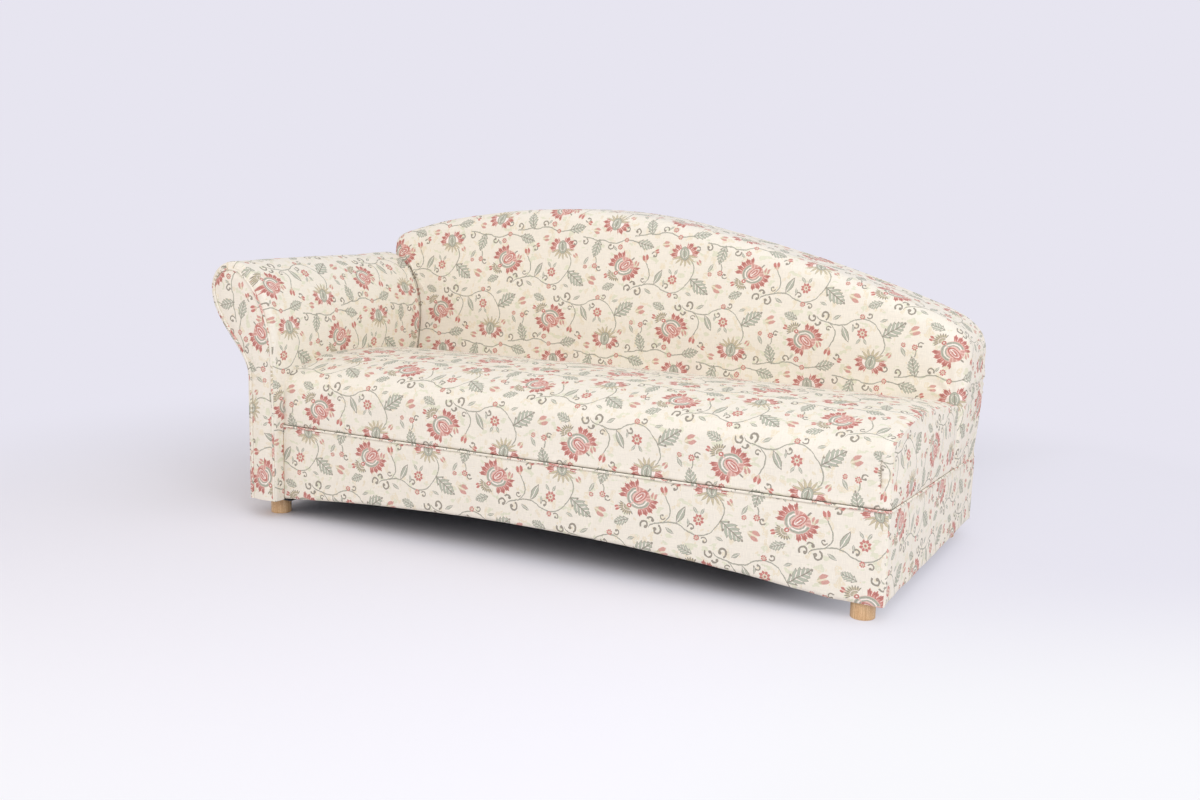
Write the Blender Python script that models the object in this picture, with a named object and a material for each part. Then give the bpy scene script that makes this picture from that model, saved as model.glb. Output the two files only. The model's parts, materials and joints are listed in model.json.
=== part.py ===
"""Upholstered sofa with one scroll arm, modelled piece by piece: legs, base frame, seat, back and arm.

Metres, +Z up. The sofa faces -Y, its arm is at -X, and the origin is on the floor under the middle of it.
"""

import math

import bmesh
import bpy
import numpy as np

# Overall size and the fits that every piece shares
LENGTH = 1.930  # from the arm's scroll to the piping on the open end
DEPTH = 0.940  # from the piping on the arm's facing to the outside back
CLEARANCE = 0.0003  # between faces that touch
COVER = 0.003  # cover cloth with its fleece lining
EASE = 0.0007  # between a pad and the cover over it
WELT_RADIUS = 0.003  # piping

# Legs
LEG_RADIUS = 0.0285
LEG_HEIGHT = 0.050
LEG_CHAMFER = 0.002
LEG_FROM_END = 0.058  # centre to the open end
LEG_FROM_ARM = 0.052  # centre to the arm's outer side
LEG_FROM_FRONT = 0.042  # centre to the seat's front
LEG_FROM_REAR = 0.060  # centre to the outside back
STUD_RADIUS = 0.004
STUD_IN_LEG = 0.028
STUD_IN_FRAME = 0.030

# Base frame
RAIL = 0.022  # thickness of the rails
RAIL_TOP = 0.235
CROSS_RAIL_BOTTOM = 0.120
CROSS_RAIL_TOP = 0.190
CROSS_RAIL_SPACING = 0.600
SILL_DEPTH = 0.070
SILL_HEIGHT = 0.045
SILL_AHEAD = 0.040  # how far it reaches in front of the back's front board
BLOCK = 0.090  # side of a leg block
BLOCK_HEIGHT = 0.040
HEM = 0.042  # lower edge of the cover cloth
ARCH_RISE = 0.047  # of the front's lower edge
ARCH_BEHIND_ARM = 0.080  # the arch begins this far behind the arm's inner side
ARCH_REST = 0.009  # straight edge between the arch and the leg block
DUST_CLOTH = 0.0025
HOLE_MARGIN = 0.001  # around a leg, in the dust cloth

# Seat
SEAT_DEPTH = 0.635  # from the seat's front to the back, at the seat's top
SEAT_HEIGHT = 0.437  # crown behind the front edge
SEAT_FALL = 0.022  # towards the back
SEAT_END_FALL = 0.010  # towards the two ends
SEAT_REAR_HEIGHT = 0.400  # where the back's lean is measured
SEAT_EDGE_RADIUS = 0.045
SEAT_END_RADIUS = 0.030
SEAT_CORNER_RADIUS = 0.016
SEAM_HEIGHT = 0.260  # piping between seat cover and border, at the front
SEAM_FALL = 0.036  # of the same piping along the end, front to rear
STRAP_COUNT = 8
STRAP_WIDTH = 0.060
STRAP = 0.0015
STRAP_FROM_FACE = 0.004
FELT = 0.004

# Back
BACK_LEAN = 0.15  # metres back for each metre up
BACK_PAD = 0.055
BACK_BOARD = 0.009
BACK_EDGE_RADIUS = 0.045
BACK_CROWN = 0.014
BACK_CROWN_RUN = 0.150  # over which the crown rises from the seat and the ends
HIGHEST_FIRST_ROW = 0.8  # of a column at the back's ends, for the row level with the seat
TOP_PAD = 0.018
TOP_RAIL = 0.012
RIB = 0.018
RIB_COUNT = 4
RIB_FROM_LEFT = 0.122
RIB_FROM_RIGHT = 0.150
LEFT_FLARE = 0.040  # the left end leans out by this above the arm's outside cloth
LEFT_CORNER_HEIGHT = 0.715  # where the left end is widest
LEFT_CORNER_RUN = 0.077
LEFT_SHOULDER_HEIGHT = 0.790
PEAK_RUN = 0.697  # from the widest part of the left end
PEAK_HEIGHT = 0.868
RIGHT_SHOULDER_HEIGHT = 0.642
RIGHT_CORNER_RUN = 0.109
RIGHT_CORNER_HEIGHT = 0.520  # the right end is straight up to here

# Handles of the back's curves, as shares of the run and the rise between their ends
LEFT_SHOULDER_HANDLE = (0.20, 0.48)
PEAK_LEFT_HANDLE = 0.45
PEAK_RIGHT_HANDLE = 0.28
RIGHT_SHOULDER_HANDLE = (0.30, 0.49)
LEFT_CORNER_HANDLE = (0.60, 0.25)
RIGHT_CORNER_HANDLE = (0.58, 0.18)

# Arm
ARM_LEAD = 0.040  # the arm stands this far in front of the seat
ARM_POST = 0.100
ARM_OVERHANG = 0.118
ARM_HEIGHT = 0.710
ARM_RIDGE = 0.146  # from the inner side to the top of the scroll
ARM_INNER_CURVE = 0.225  # height of the inner rounding
ARM_NOSE_HEIGHT = 0.632
ARM_FLARE_HEIGHT = 0.395  # the outer side is straight up to here
ARM_HEM = 0.050
ARM_PAD = 0.015
ARM_BOARD = 0.015
ARM_EDGE_ROOM = 0.0135  # left free of timber where the arm's outer front edge is padded round
ARM_BOTTOM_BOARD = 0.040
ARM_RAIL = 0.040
BATTEN = 0.044
BOLT_COUNT = 3
BOLT_HEIGHT = 0.165
BOLT_RADIUS = 0.004
BOLT_IN_ARM = 0.028
BOLT_HEAD_RADIUS = 0.008
BOLT_HEAD = 0.005
BOLT_FROM_ENDS = 0.100
WELT_FROM_EDGE = 0.0045  # middle of the facing's piping to the arm's outline

# Handles of the arm's curves, as shares of the rise or run between their ends
FLARE_HANDLE = 0.22
NOSE_UNDER_HANDLE = 0.47
NOSE_OVER_HANDLE = 0.68
RIDGE_HANDLE = 0.46

# Facets of the curved shapes
CURVE_STEPS = 7
ARCH_STEPS = 21
ROUND_STEPS = 3
FACE_ROWS = 5
TURNED_STEPS = 24
STUD_STEPS = 12
WELT_RESOLUTION = 2
SHARP_ANGLE = math.radians(35)

# Planes worked out from the sizes
WELT_PROUD = 2 * WELT_RADIUS - COVER  # of the cloth that it is sewn into
LEFT, RIGHT = -LENGTH / 2, LENGTH / 2 - WELT_PROUD
FRONT, REAR = -DEPTH / 2, DEPTH / 2
ARM_OUT = LEFT + ARM_OVERHANG
ARM_IN = ARM_OUT + ARM_POST
ARM_COVER_FRONT = FRONT + 2 * WELT_RADIUS + CLEARANCE
SEAT_FRONT = FRONT + ARM_LEAD
SEAT_BACK = SEAT_FRONT + SEAT_DEPTH
FRAME_BOTTOM = LEG_HEIGHT + CLEARANCE
SEAM_HALF = WELT_RADIUS + CLEARANCE
BEHIND_COVER = COVER + CLEARANCE
STRAP_BOTTOM = RAIL_TOP + CLEARANCE
FELT_BOTTOM = STRAP_BOTTOM + STRAP + CLEARANCE
FOAM_BOTTOM = FELT_BOTTOM + FELT + CLEARANCE
BACK_LEFT = ARM_OUT + BEHIND_COVER
BACK_WIDEST = BACK_LEFT - LEFT_FLARE
FRONT_RAIL = SEAT_FRONT + BEHIND_COVER
INNER_FRONT = FRONT_RAIL + RAIL + CLEARANCE
REAR_BOARD = REAR - BEHIND_COVER - BACK_BOARD
REAR_RAIL = REAR_BOARD - CLEARANCE - RAIL
LEFT_RAIL = ARM_IN + CLEARANCE
INNER_LEFT = LEFT_RAIL + RAIL + CLEARANCE
RIGHT_RAIL = RIGHT - BEHIND_COVER - RAIL
INNER_RIGHT = RIGHT_RAIL - CLEARANCE
ARM_BOARD_INSET = COVER + EASE + ARM_PAD + CLEARANCE
BACK_BOARD_INSET = COVER + EASE + TOP_PAD + CLEARANCE
ARCH_LEFT = ARM_IN - ARCH_BEHIND_ARM
ARCH_RIGHT = INNER_RIGHT - BLOCK - ARCH_REST


def material(name, colour, roughness, metallic=0.0):
    made = bpy.data.materials.new(name)
    made.use_nodes = True
    shader = made.node_tree.nodes["Principled BSDF"]
    shader.inputs["Base Color"].default_value = (*colour, 1.0)
    shader.inputs["Roughness"].default_value = roughness
    shader.inputs["Metallic"].default_value = metallic
    made.diffuse_color = (*colour, 1.0)
    return made


def add_object(name, mesh, finish):
    mesh.materials.append(finish)
    made = bpy.data.objects.new(name, mesh)
    bpy.context.scene.collection.objects.link(made)
    return made


def closed_body(name, points, faces, finish):
    """An object from points and faces that close on themselves, with its faces turned outwards.

    Four-sided faces are split between their first and third points, so that a pad bends as its cover does.
    """
    mesh = bpy.data.meshes.new(name)
    shape = bmesh.new()
    corners = [shape.verts.new(point) for point in points]
    for face in faces:
        shape.faces.new([corners[i] for i in face])
    four_sided = [face for face in shape.faces if len(face.verts) == 4]
    bmesh.ops.triangulate(shape, faces=four_sided, quad_method="FIXED")
    bmesh.ops.recalc_face_normals(shape, faces=shape.faces)
    shape.to_mesh(mesh)
    shape.free()
    mesh.shade_smooth()
    mesh.set_sharp_from_angle(angle=SHARP_ANGLE)
    return add_object(name, mesh, finish)


def loft(name, rings, finish):
    """A solid through closed rings of equally many points, with both ends filled."""
    count = len(rings[0])
    points = [point for ring in rings for point in ring]
    faces = [list(range(count)), list(range(len(points) - count, len(points)))]
    for start in range(0, len(points) - count, count):
        for i in range(count):
            j = (i + 1) % count
            faces.append([start + i, start + j, start + count + j, start + count + i])
    return closed_body(name, points, faces, finish)


def shell(name, outer, inner, faces, finish):
    """A skin with a wall: outer and inner points match, and every open edge gets a rim."""
    count = len(outer)
    all_faces = list(faces)
    edges = {}
    for face in faces:
        all_faces.append([count + i for i in (face[0], *reversed(face[1:]))])
        for a, b in zip(face, face[1:] + face[:1]):
            edges[(a, b)] = True
    for a, b in edges:
        if (b, a) not in edges:
            all_faces.append([b, a, count + a, count + b])
    used = sorted({i for face in all_faces for i in face})
    place = {i: n for n, i in enumerate(used)}
    points = [*outer, *inner]
    return closed_body(
        name, [points[i] for i in used], [[place[i] for i in face] for face in all_faces], finish
    )


def box(name, x, y, z, finish):
    corners = [(x[0], y[0]), (x[1], y[0]), (x[1], y[1]), (x[0], y[1])]
    return loft(name, [[(*corner, level) for corner in corners] for level in z], finish)


def upright(y):
    return lambda z: y


def leaning(offset):
    """Distance along Y to a plane behind the back's front face, or in front of it if offset is below zero."""
    return lambda z: SEAT_BACK + BACK_LEAN * (z - SEAT_REAR_HEIGHT) + offset


def plate(name, outline, near, far, finish):
    """A board with an outline in X and Z between two planes across Y."""
    return loft(name, [[(x, plane(z), z) for x, z in outline] for plane in (near, far)], finish)


def turned(name, profile, centre, along, steps, finish):
    """A round piece from (radius, height) pairs, its axis along +Z or, for a bolt, along -X."""
    rings = []
    for radius, height in profile:
        ring = []
        for step in range(steps):
            angle = 2 * math.pi * step / steps
            across, up = radius * math.cos(angle), radius * math.sin(angle)
            offset = (across, up, height) if along == "Z" else (-height, across, up)
            ring.append(tuple(c + o for c, o in zip(centre, offset)))
        rings.append(ring)
    return loft(name, rings, finish)


def drill(target, centre, along, radius, length):
    """Cuts a round hole of the given length, starting at centre, out of target."""
    profile = [(radius, -length), (radius, length)]
    cutter = turned(f"{target.name}_hole", profile, centre, along, STUD_STEPS * 2, target.active_material)
    cutter.hide_render = True
    cutter.display_type = "WIRE"
    cut = target.modifiers.new("hole", "BOOLEAN")
    cut.operation = "DIFFERENCE"
    cut.object = cutter


def piping(name, path, finish):
    """A cord in its own tube of cloth along a path of points."""
    curve = bpy.data.curves.new(name, "CURVE")
    curve.dimensions = "3D"
    curve.bevel_depth = WELT_RADIUS
    curve.bevel_resolution = WELT_RESOLUTION
    curve.use_fill_caps = True
    spline = curve.splines.new("POLY")
    spline.points.add(len(path) - 1)
    for point, place in zip(spline.points, path):
        point.co = (*place, 1.0)
    spline.use_smooth = True
    return add_object(name, curve, finish)


def bezier(start, lead, trail, end):
    """Points of a curve from start up to, and without, its end."""
    t = np.arange(CURVE_STEPS)[:, None] / CURVE_STEPS
    parts = [np.asarray(point, float) for point in (start, lead, trail, end)]
    weights = [(1 - t) ** 3, 3 * t * (1 - t) ** 2, 3 * t**2 * (1 - t), t**3]
    return sum(weight * part for weight, part in zip(weights, parts))


def inset(line, distance):
    """The line moved to its right-hand side by the distance, corners mitred."""
    step = np.diff(line, axis=0)
    normal = np.stack([step[:, 1], -step[:, 0]], axis=1) / np.linalg.norm(step, axis=1)[:, None]
    before = np.vstack([normal[:1], normal])
    after = np.vstack([normal, normal[-1:]])
    mitre = (before + after) / (1 + (before * after).sum(axis=1))[:, None]
    return np.asarray(line) + distance * mitre


def smooth(value):
    t = min(1.0, max(0.0, value))
    return t * t * (3 - 2 * t)


def arch(x):
    """Rise of the front's lower edge."""
    middle, half = (ARCH_LEFT + ARCH_RIGHT) / 2, (ARCH_RIGHT - ARCH_LEFT) / 2
    return ARCH_RISE * max(0.0, 1 - ((x - middle) / half) ** 2)


def arched_edge(left, right, low):
    """Points of an arched lower edge from right to left."""
    inside = np.linspace(min(right, ARCH_RIGHT), left, ARCH_STEPS)
    return [(right, low + arch(right)), *((x, low + arch(x)) for x in inside)]


def seam(y):
    """Height of the piping along the open end."""
    return SEAM_HEIGHT - SEAM_FALL * (y - SEAT_FRONT) / (REAR - SEAT_FRONT)


def back_foot():
    """Height at which the covers of seat and back meet the piping of the open end."""
    return seam(leaning(0.0)(seam(SEAT_BACK))) + SEAM_HALF


def make_finishes():
    return {
        "cloth": material("floral_cloth", (0.72, 0.63, 0.52), 0.85),
        "beech": material("turned_beech", (0.62, 0.38, 0.20), 0.45),
        "pine": material("frame_pine", (0.60, 0.43, 0.26), 0.65),
        "plywood": material("plywood", (0.55, 0.38, 0.22), 0.65),
        "foam": material("foam", (0.80, 0.74, 0.55), 0.95),
        "felt": material("felt", (0.30, 0.30, 0.30), 0.95),
        "webbing": material("webbing", (0.16, 0.12, 0.09), 0.85),
        "steel": material("zinc_steel", (0.62, 0.63, 0.65), 0.35, 1.0),
        "dust": material("dust_cloth", (0.02, 0.02, 0.02), 0.95),
    }


def make_base(finish):
    """Rails, sill, leg blocks and dust cloths. Returns the pieces that bolts and legs pass through."""
    pine = finish["pine"]
    rail_height = (FRAME_BOTTOM, RAIL_TOP)
    rail_run = (INNER_FRONT, REAR_RAIL - CLEARANCE)
    rail_end = RIGHT - BEHIND_COVER
    outline = [(LEFT_RAIL, RAIL_TOP), (rail_end, RAIL_TOP), *arched_edge(LEFT_RAIL, rail_end, FRAME_BOTTOM)]
    plate("front_rail", outline, upright(FRONT_RAIL), upright(FRONT_RAIL + RAIL), pine)
    box("rear_rail", (BACK_LEFT, rail_end), (REAR_RAIL, REAR_RAIL + RAIL), rail_height, pine)
    left_rail = box("left_rail", (LEFT_RAIL, LEFT_RAIL + RAIL), rail_run, rail_height, pine)
    box("right_rail", (RIGHT_RAIL, RIGHT_RAIL + RAIL), rail_run, rail_height, pine)

    sill_front = leaning(BACK_PAD)(RAIL_TOP) - SILL_AHEAD
    sill = (sill_front, sill_front + SILL_DEPTH)
    box("back_sill", (INNER_LEFT, INNER_RIGHT), sill, (RAIL_TOP - SILL_HEIGHT, RAIL_TOP), pine)
    middle = (INNER_LEFT + INNER_RIGHT) / 2
    for number, side in enumerate((-0.5, 0.5), 1):
        left = middle + side * CROSS_RAIL_SPACING - RAIL / 2
        height = (CROSS_RAIL_BOTTOM, min(CROSS_RAIL_TOP, RAIL_TOP - SILL_HEIGHT - CLEARANCE))
        box(f"cross_rail_{number}", (left, left + RAIL), rail_run, height, pine)

    height = (FRAME_BOTTOM, FRAME_BOTTOM + BLOCK_HEIGHT)
    left_end, right_end = (BACK_LEFT, LEFT_RAIL - CLEARANCE), (INNER_RIGHT - BLOCK, INNER_RIGHT)
    front = (INNER_FRONT, INNER_FRONT + BLOCK)
    rear = (REAR_RAIL - CLEARANCE - BLOCK, REAR_RAIL - CLEARANCE)
    blocks = {
        "front_right": box("leg_block_front_right", right_end, front, height, pine),
        "rear_right": box("leg_block_rear_right", right_end, rear, height, pine),
        "rear_left": box("leg_block_rear_left", left_end, rear, height, pine),
    }

    front, rear = FRONT_RAIL + COVER, REAR_RAIL + RAIL - COVER
    rings = []
    for x in np.linspace(INNER_LEFT, ARCH_RIGHT, ARCH_STEPS).tolist() + [rail_end - COVER]:
        high, low = FRAME_BOTTOM + arch(x) - CLEARANCE, FRAME_BOTTOM - CLEARANCE
        section = [(front, high), (REAR_RAIL, low), (rear, low)]
        section += [(y, z - DUST_CLOTH) for y, z in section[::-1]]
        rings.append([(x, y, z) for y, z in section])
    under_arm = (BACK_LEFT + COVER, INNER_LEFT - CLEARANCE)
    level = (FRAME_BOTTOM - CLEARANCE - DUST_CLOTH, FRAME_BOTTOM - CLEARANCE)
    dust_cloths = {
        "right": loft("dust_cloth", rings, finish["dust"]),
        "left": box("arm_dust_cloth", under_arm, (SEAT_FRONT, rear), level, finish["dust"]),
    }
    return left_rail, blocks, dust_cloths


def make_legs(finish, blocks, dust_cloths):
    """Turned legs, each held by a stud in the frame above it."""
    left, right = ARM_OUT + LEG_FROM_ARM, RIGHT - LEG_FROM_END
    front, rear = SEAT_FRONT + LEG_FROM_FRONT, REAR - LEG_FROM_REAR
    places = {
        "front_left": (left, front),
        "front_right": (right, front),
        "rear_left": (left, rear),
        "rear_right": (right, rear),
    }
    bore = STUD_RADIUS + CLEARANCE
    profile = [
        (LEG_RADIUS - LEG_CHAMFER, 0.0),
        (LEG_RADIUS, LEG_CHAMFER),
        (LEG_RADIUS, LEG_HEIGHT),
        (bore, LEG_HEIGHT),
        (bore, LEG_HEIGHT - STUD_IN_LEG - CLEARANCE),
    ]
    stud = [(STUD_RADIUS, LEG_HEIGHT - STUD_IN_LEG), (STUD_RADIUS, LEG_HEIGHT + STUD_IN_FRAME)]
    for corner, (x, y) in places.items():
        turned(f"leg_{corner}", profile, (x, y, 0.0), "Z", TURNED_STEPS, finish["beech"])
        turned(f"leg_stud_{corner}", stud, (x, y, 0.0), "Z", STUD_STEPS, finish["steel"])
        drill(blocks[corner], (x, y, FRAME_BOTTOM), "Z", bore, STUD_IN_FRAME + CLEARANCE)
        cloth = dust_cloths[corner.split("_")[1]]
        drill(cloth, (x, y, FRAME_BOTTOM), "Z", LEG_RADIUS + HOLE_MARGIN, STUD_IN_FRAME)


def seat_top(x, y):
    """Height of the seat's crown."""
    across = 2 * (x - ARM_IN) / (RIGHT - ARM_IN) - 1
    back = (y - SEAT_FRONT) / SEAT_DEPTH
    return SEAT_HEIGHT - SEAT_FALL * back**2 - SEAT_END_FALL * across**2


def seat_section(x, end_step, depth):
    """Front, rounded edge and top of the seat at one place along it, depth below the cover's outer side.

    end_step goes from 0 to 1 over the rounding at the open end.
    """
    turn = end_step * math.pi / 2
    end_radius = SEAT_END_RADIUS - depth
    corner = min(1.0, end_step * SEAT_END_RADIUS / SEAT_CORNER_RADIUS)
    drop = end_radius * (1 - math.cos(turn)) + depth
    front = SEAT_FRONT + depth + (SEAT_CORNER_RADIUS - depth) * (1 - math.cos(corner * turn))
    radius = SEAT_EDGE_RADIUS - depth
    edge = seat_top(x, front + radius) - drop - radius
    points = [(front, SEAM_HEIGHT + SEAM_HALF)]
    for step in range(ROUND_STEPS + 1):
        angle = math.pi / 2 * step / ROUND_STEPS
        points.append((front + radius * (1 - math.cos(angle)), edge + radius * math.sin(angle)))
    rear = leaning(-CLEARANCE)
    for share in np.linspace(0, 1, FACE_ROWS + 1)[1:]:
        y = points[ROUND_STEPS + 1][0] * (1 - share) + rear(SEAT_REAR_HEIGHT) * share
        points.append((y, seat_top(x, y) - drop))
    points[-1] = (rear(points[-1][1]), points[-1][1])
    return points


def seat_sections(depth):
    """Sections along the seat, from the arm to the open end."""
    straight = np.linspace(ARM_IN + CLEARANCE, RIGHT - SEAT_END_RADIUS, CURVE_STEPS + 1)
    stations = [(x, 0.0) for x in straight]
    for step in range(1, ROUND_STEPS + 1):
        share = step / ROUND_STEPS
        radius = SEAT_END_RADIUS - depth
        stations.append((RIGHT - SEAT_END_RADIUS + radius * math.sin(share * math.pi / 2), share))
    return [[(x, y, z) for y, z in seat_section(x, share, depth)] for x, share in stations]


def make_seat(finish):
    """Webbing, felt, foam, cover, borders and piping of the seat."""
    board = leaning(BACK_PAD)(STRAP_BOTTOM)
    front = FRONT_RAIL + STRAP_FROM_FACE
    pitch = (INNER_RIGHT - INNER_LEFT) / STRAP_COUNT
    for number in range(STRAP_COUNT):
        left = INNER_LEFT + pitch * (number + 0.5) - STRAP_WIDTH / 2
        run = (front, board - STRAP_FROM_FACE)
        height = (STRAP_BOTTOM, STRAP_BOTTOM + STRAP)
        box(f"seat_strap_{number + 1}", (left, left + STRAP_WIDTH), run, height, finish["webbing"])

    rear = leaning(-CLEARANCE)
    felt = (front, rear(FELT_BOTTOM) - CLEARANCE)
    box("seat_felt", (LEFT_RAIL, RIGHT_RAIL + RAIL), felt, (FELT_BOTTOM, FELT_BOTTOM + FELT), finish["felt"])

    rings = []
    for section in seat_sections(COVER + EASE):
        x, y, _ = section[0]
        rings.append([(x, y, FOAM_BOTTOM), *section, (x, rear(FOAM_BOTTOM), FOAM_BOTTOM)])
    loft("seat_foam", rings, finish["foam"])

    outer, inner = seat_sections(0.0), seat_sections(COVER)
    rows = len(outer[0])
    faces = []
    for station in range(len(outer) - 1):
        for row in range(rows - 1):
            a = station * rows + row
            faces.append([a, a + rows, a + rows + 1, a + 1])
    end = (len(outer) - 1) * rows
    foot = len(outer) * rows
    faces.append([*range(end, end + rows), foot][::-1])
    low = back_foot()
    skins = []
    for sections in (outer, inner):
        end_x = sections[-1][0][0]
        skins.append([point for section in sections for point in section] + [(end_x, rear(low), low)])
    shell("seat_cover", skins[0], skins[1], faces, finish["cloth"])

    top = SEAM_HEIGHT - SEAM_HALF
    outline = [(LEFT_RAIL, top), (RIGHT, top), *arched_edge(LEFT_RAIL, RIGHT, HEM)]
    plate("front_border", outline, upright(SEAT_FRONT), upright(SEAT_FRONT + COVER), finish["cloth"])
    near, far = SEAT_FRONT + BEHIND_COVER, REAR - BEHIND_COVER
    section = [(near, HEM), (far, HEM), (far, seam(far) - SEAM_HALF), (near, seam(near) - SEAM_HALF)]
    rings = [[(x, y, z) for y, z in section] for x in (RIGHT - COVER, RIGHT)]
    loft("end_border", rings, finish["cloth"])

    middle = WELT_RADIUS - WELT_PROUD
    y = SEAT_FRONT + middle
    path = [(LEFT_RAIL, y, SEAM_HEIGHT), (RIGHT - SEAT_CORNER_RADIUS, y, SEAM_HEIGHT)]
    radius = SEAT_CORNER_RADIUS - middle
    for step in range(1, ROUND_STEPS + 1):
        angle = math.pi / 2 * step / ROUND_STEPS
        bend = SEAT_FRONT + SEAT_CORNER_RADIUS - radius * math.cos(angle)
        path.append((RIGHT - SEAT_CORNER_RADIUS + radius * math.sin(angle), bend, seam(bend)))
    path.append((RIGHT - middle, far, seam(far)))
    piping("seat_welt", path, finish["cloth"])


def back_hump():
    """The back's top edge in X and Z, from its left corner to its right shoulder."""
    left = (BACK_WIDEST + LEFT_CORNER_RUN, LEFT_SHOULDER_HEIGHT)
    peak = (BACK_WIDEST + PEAK_RUN, PEAK_HEIGHT)
    right = (RIGHT - RIGHT_CORNER_RUN, RIGHT_SHOULDER_HEIGHT)
    rise, fall = PEAK_HEIGHT - LEFT_SHOULDER_HEIGHT, PEAK_HEIGHT - RIGHT_SHOULDER_HEIGHT
    run, drop_run = peak[0] - left[0], right[0] - peak[0]
    along, above = LEFT_SHOULDER_HANDLE
    leave_left = (left[0] + along * run, left[1] + above * rise)
    up = bezier(left, leave_left, (peak[0] - PEAK_LEFT_HANDLE * run, peak[1]), peak)
    along, above = RIGHT_SHOULDER_HANDLE
    reach_right = (right[0] - along * drop_run, right[1] + above * fall)
    down = bezier(peak, (peak[0] + PEAK_RIGHT_HANDLE * drop_run, peak[1]), reach_right, right)
    return np.vstack([up, down, [right]])


def back_outline(foot):
    """The back's whole edge, from the foot of its left end over the top to the foot of its right end.

    The hump's points follow the foot and the two curves of the left end.
    """
    hump = back_hump()
    left, right = hump[0], hump[-1]
    corner_rise = LEFT_SHOULDER_HEIGHT - LEFT_CORNER_HEIGHT
    corner_fall = RIGHT_SHOULDER_HEIGHT - RIGHT_CORNER_HEIGHT
    flare_rise = (LEFT_CORNER_HEIGHT - ARM_FLARE_HEIGHT) / 2
    flare = bezier(
        (BACK_LEFT, ARM_FLARE_HEIGHT),
        (BACK_LEFT, ARM_FLARE_HEIGHT + flare_rise),
        (BACK_WIDEST, LEFT_CORNER_HEIGHT - flare_rise),
        (BACK_WIDEST, LEFT_CORNER_HEIGHT),
    )
    along, below = LEFT_CORNER_HANDLE
    into = bezier(
        (BACK_WIDEST, LEFT_CORNER_HEIGHT),
        (BACK_WIDEST, LEFT_CORNER_HEIGHT + corner_rise / 2),
        (left[0] - along * LEFT_CORNER_RUN, left[1] - below * corner_rise),
        left,
    )
    along, below = RIGHT_CORNER_HANDLE
    out = bezier(
        right,
        (right[0] + along * RIGHT_CORNER_RUN, right[1] - below * corner_fall),
        (RIGHT, RIGHT_CORNER_HEIGHT + corner_fall / 2),
        (RIGHT, RIGHT_CORNER_HEIGHT),
    )
    ends = [(RIGHT, RIGHT_CORNER_HEIGHT), (RIGHT, foot)]
    return np.vstack([[(BACK_LEFT, foot)], flare, into, hump[:-1], out, ends])


def face_share(row, height, seat):
    """How far up its column a row of the back's face lies. The row above the foot is level with the seat."""
    if row == 0:
        return 0.0
    first = min(HIGHEST_FIRST_ROW, seat / height) if height > 0 else 1.0
    return first + (1 - first) * (row - 1) / (FACE_ROWS - 1)


def back_skin(depth, rear, foot):
    """Front, rounded edge and band of the back, depth below the cover's outer side, as far as the rear plane.

    Returns the points, row by row from the seat to the rear edge, and the number of places along each row.
    """
    edge = back_outline(foot)
    middle = inset(edge, BACK_EDGE_RADIUS)
    band = inset(edge, depth)
    count = len(edge)
    radius = BACK_EDGE_RADIUS - depth
    face = leaning(depth)
    points = []
    for row in range(FACE_ROWS + 1):
        for place in range(count):
            share = face_share(row, middle[place][1] - foot, SEAT_HEIGHT - foot)
            along = middle[0] + (middle[-1] - middle[0]) * place / (count - 1)
            x, z = along * (1 - share) + middle[place] * share
            rise = smooth((z - SEAT_HEIGHT) / BACK_CROWN_RUN) * (1 - share**4)
            ends = smooth((x - ARM_IN) / BACK_CROWN_RUN) * smooth((RIGHT - x) / BACK_CROWN_RUN)
            points.append((x, face(z) - BACK_CROWN * rise * ends, z))
    for step in range(1, ROUND_STEPS + 1):
        angle = math.pi / 2 * step / ROUND_STEPS
        for place in range(count):
            x, z = middle[place] + (band[place] - middle[place]) * math.sin(angle)
            points.append((x, face(z) + radius * (1 - math.cos(angle)), z))
    points += [(x, rear(z), z) for x, z in band]
    return points, count


def back_faces(rows, count):
    """Faces of a back skin. Each row's first and last points on the face are one point, at the foot."""
    edge_row = FACE_ROWS * count

    def index(row, place):
        if row < FACE_ROWS and place in (0, count - 1):
            return edge_row + place
        return row * count + place

    faces = []
    for row in range(rows - 1):
        for place in range(count - 1):
            corners = [(row, place), (row, place + 1), (row + 1, place + 1), (row + 1, place)]
            face = list(dict.fromkeys(index(*corner) for corner in corners))
            if len(face) > 2:
                faces.append(face)
    return faces


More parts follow.
